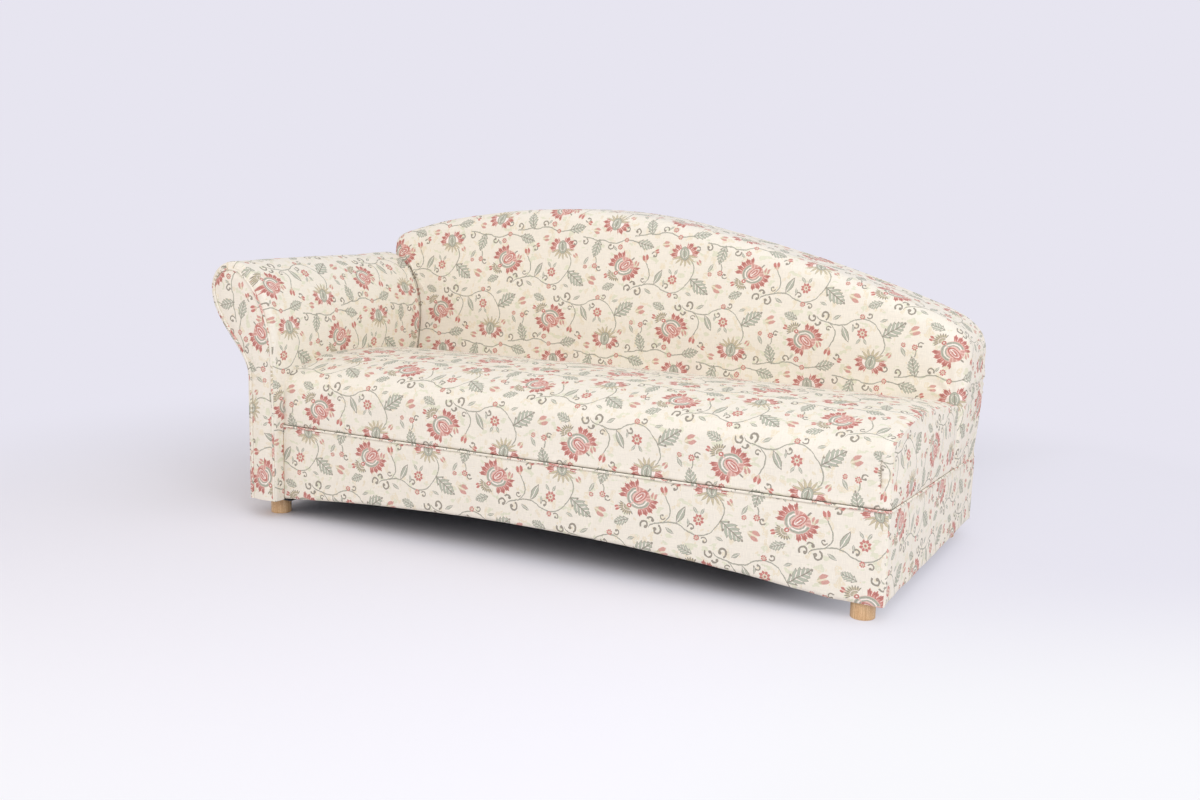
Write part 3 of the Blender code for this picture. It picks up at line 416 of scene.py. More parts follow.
# %% Great flower
PETAL, TOOTH, FRINGE = math.pi / 18, math.pi / 54, math.pi / 22
GREAT_PLACE, GREAT_TURN, GREAT_SIZE = (64, 0, 0), (0, 0, math.radians(225)), (0.98, 0.98, 1.0)
FLAT = (1.0, 1.17, 1.0)  # both flowers are wider than high
low_tile = add(VECTOR, tile, FLAT, operation="MULTIPLY")
great = add("ShaderNodeMapping", low_tile, GREAT_PLACE, GREAT_TURN, GREAT_SIZE, vector_type="TEXTURE")
ahead, side, angle, reach = measures(great)
petals = add(MATH, angle, PETAL, operation="PINGPONG")
teeth = add(MATH, angle, TOOTH, operation="PINGPONG")
rim = add(MATH, teeth, 3.5 / TOOTH, 42.0, operation="MULTIPLY_ADD")
rim = add(MATH, petals, 9.0 / PETAL, rim, operation="MULTIPLY_ADD")
room = add(MATH, rim, reach, operation="SUBTRACT")
drop = add(VECTOR, great, (7.0, 0, 0), operation="ADD")
drop = add(VECTOR, add(VECTOR, drop, (0.042, 0.084, 0.0), operation="MULTIPLY"), operation="LENGTH")
rosette = add(VECTOR, great, (36.0, 0, 0), operation="DISTANCE")
flank, band, collar = (angle, 0.76, 2.34), (angle, 0.06, 2.05), (angle, 2.05, 3.2)
colour = layered(
    colour,
    [
        (ROSE, (room, -1.6, FAR), flank),
        (CORAL, (room, 0, FAR), flank),
        (RUST, (room, 2, 9), flank, (petals, 0.55 * PETAL, FAR)),
        (PALE, (room, 0, 8), flank, (petals, -1, 0.12 * PETAL)),
        (ROSE, (room, 13, FAR), flank, (petals, 0.50 * PETAL, FAR)),
        (TAUPE, (side, -1, 2.2), (ahead, -45, -24)),
        (PINK, (reach, -1, 32.6)),
        (ROSE, (reach, 20.0, 32.0), collar, (petals, 0.3 * PETAL, FAR)),
        (SAGE, (reach, 18.0, 31.4), band),
        (PALE, (reach, 21.0, 24.6), band),
        (TAUPE, (reach, 27.4, 28.8), band),
        (TAUPE, (reach, 17.4, 18.6), band),
        (CORAL, (drop, -1, 1.0)),
        (ROSE, (drop, -1, 0.66)),
        (PALE, (drop, 0.62, 0.72)),
        (CORAL, (drop, -1, 0.40)),
        (PALE, (side, -1, 1.5), (ahead, -13, 7)),
        (CORAL, (rosette, -1, 6.5)),
        (PALE, (rosette, -1, 2.6)),
    ],
)
_, _, angle, reach = measures(add(VECTOR, great, (40.0, 0, 0), operation="SUBTRACT"))
fringe = add(MATH, angle, FRINGE, operation="PINGPONG")
room = add(MATH, add(MATH, fringe, 7.0 / FRINGE, 20.0, operation="MULTIPLY_ADD"), reach, operation="SUBTRACT")
fan = [(room, 0, 20.0), (angle, -1, 1.35)]
spokes = (OCHRE, *fan, (fringe, -1, 0.55 * FRINGE))
colour = layered(colour, [(TAUPE, *fan), spokes, (PALE, *fan, (reach, 12, 13.5))])
print("great flower at", GREAT_PLACE)

# %% [markdown]
# The crown flower stands upright: coral petals open to the top, a grey-green heart and long ochre sepals that
# hang down over its stem.

# %% Crown flower
PETAL, SEPAL = math.pi / 15, math.pi / 15
CROWN_PLACE, CROWN_TURN, CROWN_SIZE = (252, 50, 0), (0, 0, math.radians(98)), (1.14, 1.14, 1)
crown = add("ShaderNodeMapping", low_tile, CROWN_PLACE, CROWN_TURN, CROWN_SIZE, vector_type="TEXTURE")
ahead, side, angle, reach = measures(crown)
petals = add(MATH, angle, PETAL, operation="PINGPONG")
sepals = add(MATH, angle, SEPAL, operation="PINGPONG")
teeth = add(MATH, angle, TOOTH, operation="PINGPONG")
rim = add(MATH, teeth, 3.5 / TOOTH, 28.0, operation="MULTIPLY_ADD")
room = add(MATH, add(MATH, petals, 9.0 / PETAL, rim, operation="MULTIPLY_ADD"), reach, operation="SUBTRACT")
tips = add(MATH, sepals, 21.0 / SEPAL, 15.0, operation="MULTIPLY_ADD")
below = add(MATH, tips, reach, operation="SUBTRACT")
heart = add(VECTOR, add(VECTOR, crown, (4.0, 0, 0), operation="SUBTRACT"), (1, 1.6, 1), operation="MULTIPLY")
heart = add(VECTOR, heart, operation="LENGTH")
wings, hanging = (angle, 0.30, 1.80), (angle, 1.70, 3.2)
colour = layered(
    colour,
    [
        (ROSE, (room, -1.4, FAR), wings),
        (CORAL, (room, 0, FAR), wings),
        (RUST, (room, 2, 8), wings, (petals, 0.60 * PETAL, FAR)),
        (PALE, (room, 0, 9), wings, (petals, -1, 0.12 * PETAL)),
        (ROSE, (room, 9, FAR), wings, (petals, 0.60 * PETAL, FAR)),
        (PALE, (reach, -1, 20.5)),
        (TAUPE, (below, 0, FAR), hanging),
        (OCHRE, (below, 1.5, FAR), hanging, (sepals, 0.35 * SEPAL, FAR)),
        (SAGE, (below, 3, FAR), hanging, (sepals, -1, 0.22 * SEPAL)),
        (SAGE, (heart, -1, 20.0)),
        (PALE, (heart, 11.0, 12.6)),
        (TAUPE, (heart, 18.4, 20.0)),
        (TAUPE, (heart, -1, 15.0), (side, -1, 1.2)),
    ],
)
print("flowers drawn,", len(tree.nodes), "nodes so far")

# %% [markdown]
# Uneven weft threads show as fine lines along the cloth, warp threads cross them. Real threads are about
# 0.4 mm apart. They are drawn three times coarser, as finer ones would not show in a picture of a whole
# sofa. Coloured wefts float unevenly, so the motifs get darker flecks. The satin ground has a soft shine, the
# motifs are dull.

# %% Threads and shine
weft = add("ShaderNodeTexNoise", add(VECTOR, thread, (0.035, 0.8, 1.0), operation="MULTIPLY"), 1.0, 2.0)
warp = add("ShaderNodeTexNoise", add(VECTOR, thread, (0.9, 0.05, 1.0), operation="MULTIPLY"), 1.0, 1.0)
fibre = add(MATH, weft, warp, operation="ADD")
shade = add("ShaderNodeMapRange", fibre, 0.75, 1.25, 0.93, 1.05)
green = add("ShaderNodeSeparateColor", colour).node.outputs["Green"]
floats = add("ShaderNodeTexNoise", add(VECTOR, thread, (0.22, 0.45, 1.0), operation="MULTIPLY"), 1.0, 2.0)
floats = add("ShaderNodeMapRange", floats, 0.45, 0.75, 0.0, 0.26)
woven = add("ShaderNodeMapRange", green, 0.35, 0.72, 1.0, 0.0)
floats = add(MATH, add(MATH, floats, woven, operation="MULTIPLY"), -1.0, shade, operation="MULTIPLY_ADD")
tinted = add(VECTOR, colour, floats, operation="SCALE")
bump = add("ShaderNodeBump", 0.35, 0.0006, None, fibre)
dull = add("ShaderNodeMapRange", green, 0.35, 0.75, 0.90, 0.44)
shader = add("ShaderNodeBsdfPrincipled").node
tree.links.new(tinted, shader.inputs["Base Color"])
tree.links.new(dull, shader.inputs["Roughness"])
tree.links.new(bump, shader.inputs["Normal"])
shader.inputs["Specular IOR Level"].default_value = 0.3
shader.inputs["Sheen Weight"].default_value = 0.06
shader.inputs["Sheen Roughness"].default_value = 0.35
add("ShaderNodeOutputMaterial", shader.outputs[0])
print("floral cloth:", len(tree.nodes), "nodes")

# %% [markdown]
# ## Shapes shared with the CAD model
#
# Each cover follows the solid that it stands for, so sizes and curves of the CAD source come back here, in
# metres. The curves get many more points than in CAD, because cloth shows every corner of a coarse line.


# %% Sizes and lines
LEFT, RIGHT, REAR = -0.965, 0.962, 0.470
SEAT_FRONT, SEAT_BACK = -0.430, 0.205
SEAT_REAR_HEIGHT, BACK_LEAN = 0.400, 0.15
SEAM_HEIGHT, SEAM_FALL = 0.260, 0.036
ARM_OUT, ARM_IN, ARM_FRONT = -0.847, -0.747, -0.4637
TUCK = 0.0033  # from the middle of a piped seam to the cloth on either side
CORNER, HEM_CORNER = 0.016, 0.0105  # roundings of the open end's front corner at the piping and below
HEM = 0.042  # height of the lower edge of the cloth
CLEAR, REAR_CLEAR = 0.0005, 0.0008  # gaps between a cover and what lies beside it


def smooth(value):
    t = np.clip(value, 0.0, 1.0)
    return t * t * (3 - 2 * t)


def leaning(z):
    """Y of the back's front face at height z."""
    return SEAT_BACK + BACK_LEAN * (z - SEAT_REAR_HEIGHT)


def seam(y):
    """Height of the piping, which falls towards the rear along the open end."""
    return SEAM_HEIGHT - SEAM_FALL * np.maximum(y - SEAT_FRONT, 0.0) / (REAR - SEAT_FRONT)


def bezier(start, lead, trail, end):
    t = np.linspace(0, 1, 41)[:, None]
    start, lead, trail, end = (np.array(point) for point in (start, lead, trail, end))
    return (1 - t) ** 3 * start + 3 * t * (1 - t) ** 2 * lead + 3 * t**2 * (1 - t) * trail + t**3 * end


def run_of(line):
    """Distance travelled along a line at each of its points."""
    steps = np.linalg.norm(np.diff(line, axis=0), axis=1)
    return np.concatenate([[0.0], np.cumsum(steps)])


def even(line, count):
    """The line cut into count equal steps."""
    at = run_of(line)
    wanted = np.linspace(0, at[-1], count + 1)
    return np.stack([np.interp(wanted, at, line[:, i]) for i in range(line.shape[1])], axis=1)


def end_corner(radius, bend):
    """Points round the open end's front corner, seen from above."""
    return np.stack([RIGHT - radius * (1 - np.sin(bend)), SEAT_FRONT + radius * (1 - np.cos(bend))], axis=1)


def outward(line):
    """Directions to the left-hand side of a line in X and Z, which is the outside of all outlines here."""
    step = np.gradient(line, axis=0)
    side = np.stack([-step[:, 1], step[:, 0]], axis=1)
    return side / np.linalg.norm(side, axis=1)[:, None]


def at_depth(line, depth):
    """The points of a line in X and Z, at one depth in Y or at a depth for each."""
    return np.stack([line[:, 0], np.broadcast_to(depth, len(line)), line[:, 1]], axis=1)


def tucked(distance, reach, depth):
    """How far cloth is pulled in at a distance from its seam: depth at the seam, nothing beyond reach."""
    return depth * np.clip(1 - distance / reach, 0, 1) ** 2


# %% [markdown]
# A cover is made as a grid of points with faces between them. The same grid has cloth coordinates in metres,
# which the floral cloth reads. A second skin a little further in and a rim close it, so it is a body with a
# wall and not a film.


# %% From a grid to a closed cover
COVER_CREASE = 70  # degrees, above which an edge of a cover looks sharp


def numbered(grid):
    """The number of each point of a grid, in the shape of the grid."""
    return np.arange(grid.shape[0] * grid.shape[1]).reshape(grid.shape[:2])


def rim_of(index):
    """The numbers of the points on the four sides of a grid."""
    return {*index[:, 0], *index[:, -1], *index[0], *index[-1]}


def quads(index):
    """Faces between the points of a grid of point numbers."""
    corners = [index[:-1, :-1], index[1:, :-1], index[1:, 1:], index[:-1, 1:]]
    return np.stack(corners, axis=-1).reshape(-1, 4)


def rides(name, mesh, finish):
    """Puts a mesh into the scene as a piece of the sofa, which is one rigid body."""
    mesh.materials.append(finish)
    made = bpy.data.objects.new(name, mesh)
    scene.collection.objects.link(made)
    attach(made, "root")
    return made


def cloth_mesh(name, points, faces, laid):
    """A smooth mesh. laid has the cloth coordinates of each corner of each face."""
    mesh = bpy.data.meshes.new(name)
    mesh.from_pydata(points.tolist(), [], faces)
    layer = mesh.uv_layers.new(name="Cloth")
    layer.data.foreach_set("uv", np.array([mark for marks in laid for mark in marks]).ravel())
    mesh.shade_smooth()
    return mesh


def cover(name, points, faces, laid, wall):
    """A closed cloth piece with a wall of the given thickness inside its points."""
    film = bpy.data.meshes.new("film")
    film.from_pydata(points.tolist(), [], faces)
    normals = np.empty(len(points) * 3)
    film.vertices.foreach_get("normal", normals)
    bpy.data.meshes.remove(film)
    count = len(points)
    inner = points - wall * normals.reshape(-1, 3)
    edges = {}
    for face, marks in zip(faces, laid):
        for i, start in enumerate(face):
            j = (i + 1) % len(face)
            edges[(start, face[j])] = (marks[i], marks[j])
    all_faces, all_laid = list(faces), list(laid)
    for face, marks in zip(faces, laid):
        all_faces.append([count + i for i in reversed(face)])
        all_laid.append(list(reversed(marks)))
    for (a, b), (mark_a, mark_b) in edges.items():
        if (b, a) not in edges:
            all_faces.append([b, a, count + a, count + b])
            all_laid.append([mark_b, mark_a, mark_a, mark_b])
    everything = np.vstack([points, inner])
    used = sorted({i for face in all_faces for i in face})
    number = {i: n for n, i in enumerate(used)}
    all_faces = [[number[i] for i in face] for face in all_faces]
    mesh = cloth_mesh(name, everything[used], all_faces, all_laid)
    mesh.set_sharp_from_angle(angle=math.radians(COVER_CREASE))
    print(name, len(mesh.polygons), "faces")
    return rides(name, mesh, jacquard)


def grid_cover(name, grid, laid, wall):
    """A cover from one grid of points and a grid of their cloth coordinates."""
    faces = quads(numbered(grid)).tolist()
    marks = laid.reshape(-1, 2)
    return cover(name, grid.reshape(-1, 3), faces, [marks[face].tolist() for face in faces], wall)


# %% [markdown]
# Foam pushes a cover outwards and its seams hold it. Blender's cloth does just that: the points on the seams
# are pinned, a pressure stands for the foam, and the cloth is cut a trace too large, so it swells and pulls
# small folds at the seams. This runs on a coarse grid, and its movement is then spread over the fine one.


# %% Let the foam press
FRAMES = 20


def pressed(points, faces, held, pressure, slack, most):
    """How far the points of a cover move when foam presses it. Held points stay, most limits the others."""
    mesh = bpy.data.meshes.new("pressed")
    mesh.from_pydata(points.tolist(), [], faces)
    trial = bpy.data.objects.new("pressed", mesh)
    scene.collection.objects.link(trial)
    pins = trial.vertex_groups.new(name="seams")
    pins.add([int(i) for i in held], 1.0, "REPLACE")
    cloth = trial.modifiers.new("cloth", "CLOTH")
    cloth.settings.quality = 6
    cloth.settings.mass = 0.4
    cloth.settings.tension_stiffness = 25.0
    cloth.settings.compression_stiffness = 25.0
    cloth.settings.shear_stiffness = 8.0
    cloth.settings.bending_stiffness = 1.5
    cloth.settings.air_damping = 3.0
    cloth.settings.vertex_group_mass = "seams"
    cloth.settings.shrink_min = -slack
    cloth.settings.use_pressure = True
    cloth.settings.uniform_pressure_force = pressure
    cloth.settings.effector_weights.gravity = 0.0
    cloth.collision_settings.use_collision = False
    cloth.point_cache.frame_end = FRAMES
    for step in range(1, FRAMES + 1):
        scene.frame_set(step)
    shape = trial.evaluated_get(bpy.context.evaluated_depsgraph_get()).data
    after = np.empty(len(points) * 3)
    shape.vertices.foreach_get("co", after)
    bpy.data.objects.remove(trial)
    bpy.data.meshes.remove(mesh)
    scene.frame_set(1)
    move = after.reshape(-1, 3) - points
    length = np.linalg.norm(move, axis=1)
    print("pressed", len(points), "points, furthest", round(float(length.max()) * 1000, 1), "mm")
    return move * (most / (most + length))[:, None]


def spread(values, places, axis):
    """Values on a coarse grid, read smoothly at places along one axis of it."""
    values = np.moveaxis(values, axis, 0)
    low = np.clip(np.floor(places).astype(int), 0, len(values) - 2)
    t = (places - low).reshape(-1, *[1] * (values.ndim - 1))
    weights = [(1 - t) ** 3, 3 * t**3 - 6 * t**2 + 4, -3 * t**3 + 3 * t**2 + 3 * t + 1, t**3]
    rows = [values[np.clip(low + k, 0, len(values) - 1)] for k in (-1, 0, 1, 2)]
    return np.moveaxis(sum(w * r for w, r in zip(weights, rows)) / 6, 0, axis)


def places_on(coarse, fine):
    """Where the steps of a fine grid lie on a coarse one, stretch by stretch."""
    parts, start = [np.zeros(1)], 0
    for few, many in zip(coarse, fine):
        parts.append(start + few * np.arange(1, many + 1) / many)
        start += few
    return np.concatenate(parts)


def waves(points, size, seed):
    """Slow irregular waves between about -1 and 1, with size as the distance between them."""
    offset = Vector((seed, 2.0 * seed, 0.5 * seed))
    values = [noise.noise(Vector(point) / size + offset) for point in points.reshape(-1, 3)]
    return np.array(values).reshape(points.shape[:-1])


def runs_of(grid, axis):
    """Lengths along the rows (axis 1) or columns (axis 0) of a grid, up to each point."""
    steps = np.linalg.norm(np.diff(grid, axis=axis), axis=2)
    return np.insert(np.cumsum(steps, axis=axis), 0, 0.0, axis=axis)


def normals_of(grid):
    """Outward directions of a grid of points."""
    first, second = np.gradient(grid, axis=0), np.gradient(grid, axis=1)
    facing = np.cross(first, second)
    return facing / np.maximum(np.linalg.norm(facing, axis=2), 1e-9)[:, :, None]


# %% [markdown]
# ## Seat
#
# The seat is one padded block, fixed to the frame. Its cover runs up the front, over a soft edge and back to
# the backrest, and a second panel closes the open end. Both panels meet in a rounded corner that is sewn by
# hand.

# %% The seat's surface
SEAT_EDGE, SEAT_END, TOP_CORNER = 0.065, 0.009, 0.020  # roundings of front edge, end, and corner at the top
BROW, SLOPE = 0.365, 0.28  # the front edge begins to turn at this height, and turns as far as this slope
CROWN_Y, REAR_TOP = -0.18, 0.405  # where the seat is highest, and its height at the back
ARM_CLEAR = 0.001  # gap between the seat and the arm


def seat_top(y, first, level):
    """Heights of the domed top, from where the front edge ends to the back."""
    run = CROWN_Y - first
    peak = level + math.tan(SLOPE) * run / 2
    rise = (y - first) / run
    fall = (y - CROWN_Y) / (SEAT_BACK - CROWN_Y)
    behind = peak - (peak - REAR_TOP) * fall**2
    return np.where(y < CROWN_Y, level + (peak - level) * (2 * rise - rise**2), behind)


def seat_grids(along, end, front, edge, top):
    """Points over front and top, then points over the end, whose first column and last row are shared."""
    share = np.linspace(0, 1, along + 1)
    share = share + 0.7 * share**2 * (1 - share)  # closer together towards the corner
    x = ARM_IN + ARM_CLEAR + (RIGHT - TOP_CORNER - ARM_IN - ARM_CLEAR) * share
    turn = np.concatenate([np.zeros(along), np.linspace(0, math.pi / 2, end + 1)])
    over = []
    for i, angle in enumerate(turn):
        back, short = 1 - math.cos(angle), 1 - math.sin(angle)
        fall = SEAT_END * back
        start = SEAT_FRONT + TOP_CORNER * back
        place = x[i] if i < along else RIGHT - TOP_CORNER * short
        across = 2 * (place - ARM_IN) / (RIGHT - ARM_IN) - 1
        radius = SEAT_EDGE - 0.035 * smooth((place - RIGHT + 0.16) / 0.16)  # sharper towards the corner
        brow = BROW + (SEAT_EDGE - radius) * math.cos(SLOPE) - 0.010 * across**2 - fall
        ends = start + radius * (1 - math.sin(SLOPE)), brow + radius * math.cos(SLOPE)
        share = np.linspace(0, 1, front + 1)
        corner = CORNER + (TOP_CORNER - CORNER) * smooth(share)
        face_x = np.full(front + 1, place) if i < along else RIGHT - corner * short
        face_y = SEAT_FRONT + corner * back
        foot = seam(face_y[0]) + TUCK
        bend = np.linspace(0, math.pi / 2 - SLOPE, edge + 1)[1:]
        y = np.linspace(ends[0], leaning(SEAT_REAR_HEIGHT), top + 1)[1:]
        level = seat_top(y, *ends)
        y[-1] = leaning(level[-1]) - CLEAR
        width = np.concatenate([face_x, np.full(edge + top, place)])
        depth = np.concatenate([face_y, start + radius * (1 - np.cos(bend)), y])
        height = np.concatenate([foot + (brow - foot) * share, brow + radius * np.sin(bend), level])
        over.append(np.stack([width, depth, height], axis=1))
    over = np.array(over)
    rim = over[-1, front:]
    share = np.linspace(0, 1, front + 1)[None, :, None]
    foot = rim.copy()
    foot[:, 2] = seam(rim[:, 1]) + TUCK
    return over, foot[:, None] * (1 - share) + rim[:, None] * share


def seat_mesh(counts):
    """All points of the seat, and the numbers of those on the two grids."""
    over, end = seat_grids(*counts)
    front = counts[2]
    first = numbered(over)
    second = first.size + numbered(end)
    second[0] = first[-1, : front + 1]
    second[:, -1] = first[-1, front:]
    return over, end, first, second


# %% Foam in the seat
COARSE = (108, 3, 8, 4, 40)
FINE = (216, 10, 40, 12, 84)
over, end, first, second = seat_mesh(COARSE)
points = np.vstack([over.reshape(-1, 3), end.reshape(-1, 3)])
faces = quads(first).tolist() + quads(second).tolist()
held = {*first[:, 0], *first[:, -1], *first[0], *second[:, 0], *second[-1]}
move = pressed(points, faces, held, pressure=2.5, slack=0.004, most=0.006)
front_move = move[: first.size].reshape(over.shape)
end_move = move[second]
over, end, first, second = seat_mesh(FINE)
along = places_on(COARSE[:2], FINE[:2])
up = places_on(COARSE[2:], FINE[2:])
over = over + spread(spread(front_move, along, 0), up, 1)
end_along, end_up = places_on(COARSE[3:], FINE[3:]), places_on(COARSE[2:3], FINE[2:3])
end = end + spread(spread(end_move, end_along, 0), end_up, 1)
print("seat grid", over.shape[:2], "end grid", end.shape[:2])

# %% [markdown]
# Then come the marks of sewing: the cover is pulled in along its seams and puckers beside the piping. Near
# the corner, a short seam sewn by hand dents the front and gathers the cloth on both sides.

# %% Seams and puckers of the seat
SEAM_X, SEAM_LOW, SEAM_HIGH = RIGHT - 0.025, 0.300, 0.392  # seam sewn by hand beside the corner
rest, rest_end, _, _ = seat_mesh(FINE)
out, out_end = normals_of(rest), normals_of(rest_end)
section = runs_of(rest, 1)
behind = section[:, -1:] - section
beside = rest[:, :, 0] - ARM_IN
pull = tucked(section, reach=0.009, depth=0.0040) + tucked(behind, reach=0.020, depth=0.007)
pull = pull + tucked(beside, reach=0.010, depth=0.003)
swell = 0.0025 * waves(rest, size=0.16, seed=3.0)
swell = swell * smooth(section / 0.06) * smooth(behind / 0.06)
pucker = 0.0009 * waves(rest, size=0.020, seed=17.0)
swell = swell + pucker * np.exp(-(((section - 0.012) / 0.014) ** 2))
from_seam = rest[:, :, 0] - SEAM_X
along_seam = smooth((rest[:, :, 2] - SEAM_LOW) / 0.02) * smooth((SEAM_HIGH - rest[:, :, 2]) / 0.02)
along_seam = along_seam * (rest[:, :, 1] < SEAT_FRONT + 0.02)
dent = 0.0035 * np.exp(-np.abs(from_seam) / 0.004)
gather = 0.0011 * np.sin(2 * math.pi * rest[:, :, 2] / 0.015) * np.exp(-np.abs(from_seam) / 0.020)
swell = swell + (gather - dent) * along_seam
over = over + out * (swell - pull)[:, :, None]
beside_seam = int(np.argmin(np.abs(rest[:, 0, 0] - SEAM_X)))
heights = rest[beside_seam, :, 2]
SEAM_END = 0.015  # the stitches stop short of the seam's ends
rows = [i for i in range(FINE[2] + FINE[3]) if SEAM_LOW + SEAM_END < heights[i] < SEAM_HIGH - SEAM_END]
stitch_path = np.array([over[beside_seam + (1 if i % 2 else -1), row] for i, row in enumerate(rows)])
lift = rest_end[:, :, 2] - seam(rest_end[:, :, 1]) - TUCK
end = end - out_end * tucked(lift, reach=0.009, depth=0.0022)[:, :, None]
print(len(rows), "hand stitches")

# %% Seat pad
SEAM_JUMP = 0.105  # how much further along the cloth the strip beyond the hand-sewn seam was cut
laid = np.stack([runs_of(rest, 0) + rest[0, 0, 0] + 0.050, section + 0.198], axis=2)
laid_end = np.stack([rest_end[:, :, 1] + 0.291, rest_end[:, :, 2] - 0.082], axis=2)
points = np.vstack([over.reshape(-1, 3), end.reshape(-1, 3)])
faces = quads(first).tolist()
flat = laid.reshape(-1, 2)
station, row = np.divmod(np.min(faces, axis=1), first.shape[1])
beyond = (station >= beside_seam) & (row < FINE[2])
corner_marks = [(flat[face] + (SEAM_JUMP * jump, 0)).tolist() for face, jump in zip(faces, beyond)]
plain = numbered(end)
flat_end = laid_end.reshape(-1, 2)
corner_marks += [flat_end[face].tolist() for face in quads(plain)]
faces += quads(second).tolist()
seat_pad = cover("seat_pad", points, faces, corner_marks, wall=0.006)
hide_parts("seat_cover", "seat_foam")

# %% [markdown]
# ## Back
#
# The back is a humped board with foam in front and wadding over its edge. The cover runs up the front, over a
# round edge and across the top to the rear, where it turns in to meet the cloth of the outside back.

# %% The back's outline
BACK_EDGE, BACK_REAR_EDGE = 0.045, 0.018
BACK_FOOT = 0.2355
BACK_LEFT, BACK_TIP = -0.8437, -0.8877  # the left end below, and where it leans out over the arm
left, peak, right = np.array((-0.853, 0.7755)), np.array((-0.1867, 0.868)), np.array((0.853, 0.642))
rise, drop = peak - left, right - peak
bulge = RIGHT + 0.014  # the padded end stands out past the seat
outline = np.vstack(
    [
        [(BACK_LEFT, BACK_FOOT)],
        bezier((BACK_LEFT, 0.395), (BACK_LEFT, 0.555), (BACK_TIP, 0.575), (BACK_TIP, 0.735)),
        bezier((BACK_TIP, 0.735), (BACK_TIP, 0.756), (left[0] - 0.0202, left[1] - 0.0070), left)[1:],
        bezier(left, left + rise * (0.20, 0.48), (peak[0] - 0.45 * rise[0], peak[1]), peak)[1:],
        bezier(peak, (peak[0] + 0.28 * drop[0], peak[1]), right - drop * (0.30, 0.49), right)[1:],
        bezier(right, (right[0] + 0.0632, right[1] - 0.022), (bulge, 0.590), (bulge, 0.515))[1:],
        bezier((bulge, 0.515), (bulge, 0.430), (RIGHT + 0.006, 0.340), (RIGHT - CLEAR, BACK_FOOT))[1:],
    ]
)
print("back outline", round(float(run_of(outline)[-1]), 3), "m")


def back_grid(along, face, edge, band, rear):
    """Points over the back's front, round edge, top and rear edge, and their cloth coordinates."""
    line = even(outline, along)
    out = outward(line)
    middle = line - BACK_EDGE * out
    foot = np.linspace(middle[0], middle[-1], along + 1)
    rows, laid = [], []
    for share in np.linspace(0, 1, face + 1):
        x, z = (foot * (1 - share) + middle * share).T
        crown = smooth((z - 0.437) / 0.15) * (1 - share**4)
        crown = crown * smooth((x - ARM_IN) / 0.15) * smooth((RIGHT - x) / 0.15)
        rows.append(np.stack([x, leaning(z) - 0.014 * crown, z], axis=1))
        laid.append(np.stack([x, z], axis=1))
    for angle in np.linspace(0, math.pi / 2, edge + 1)[1:]:
        x, z = (middle + BACK_EDGE * math.sin(angle) * out).T
        rows.append(np.stack([x, leaning(z) + BACK_EDGE * (1 - math.cos(angle)), z], axis=1))
        laid.append(middle + BACK_EDGE * angle * out)
    brim = leaning(line[:, 1]) + BACK_EDGE
    last = REAR - REAR_CLEAR - BACK_REAR_EDGE
    for share in np.linspace(0, 1, band + 1)[1:]:
        rows.append(at_depth(line, brim * (1 - share) + last * share))
        laid.append(middle + (BACK_EDGE * math.pi / 2 + (last - brim) * share)[:, None] * out)
    for angle in np.linspace(0, math.pi / 2, rear + 1)[1:]:
        turned = line - BACK_REAR_EDGE * (1 - math.cos(angle)) * out
        rows.append(at_depth(turned, last + BACK_REAR_EDGE * math.sin(angle)))
        laid.append(laid[-1] + BACK_REAR_EDGE * (math.pi / 2 / rear) * out)
    grid, laid = np.array(rows).transpose(1, 0, 2), np.array(laid).transpose(1, 0, 2)
    low = smooth((0.45 - grid[:, :, 2]) / 0.21) * (grid[:, :, 0] > 0.5)
    grid[:, :, 2] += low * (seam(grid[:, :, 1]) + TUCK - BACK_FOOT)
    return grid, laid


# %% Back pad
COARSE = (180, 26, 4, 8, 2)
FINE = (380, 60, 12, 14, 6)
FOLDS, CALM = 9, 12  # folds in a full turn round the corner, and columns without waves at either end
STRETCH = 1.011  # by which the cloth of the back is longer than its front is high
grid, _ = back_grid(*COARSE)
index = numbered(grid)
faces = quads(index).tolist()
move = pressed(grid.reshape(-1, 3), faces, rim_of(index), pressure=2.0, slack=0.004, most=0.010)
move = move.reshape(grid.shape)
grid, laid = back_grid(*FINE)
out = normals_of(grid)
move = spread(spread(move, places_on(COARSE[:1], FINE[:1]), 0), places_on(COARSE[1:], FINE[1:]), 1)
swell = 0.0025 * waves(grid, size=0.18, seed=7.0)
aside, above = grid[:, :, 0] - (RIGHT - 0.015), grid[:, :, 2] - 0.425
reach = np.hypot(aside, above)
# Folds fan out from the corner where the back meets the seat at the open end.
fold = np.sin(FOLDS * np.arctan2(above, -aside))
fold = fold * (1 - np.exp(-reach / 0.015)) * np.exp(-((reach / 0.10) ** 2))
swell = swell + 0.0030 * fold * (above > -0.03)
column = np.arange(FINE[0] + 1)
ends = smooth(column / CALM) * smooth((FINE[0] - column) / CALM)
grid = grid + move + out * (swell * ends[:, None])[:, :, None]
laid = laid * (1.0, STRETCH) + (0.102, 0.085 - 0.71 * STRETCH)
back_pad = grid_cover("back_pad", grid, laid, wall=0.006)
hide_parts("back_cover", "back_foam", "back_top_pad")

# %% [markdown]
# The outside back is a plain panel of the same cloth, stretched over the rear of the frame.

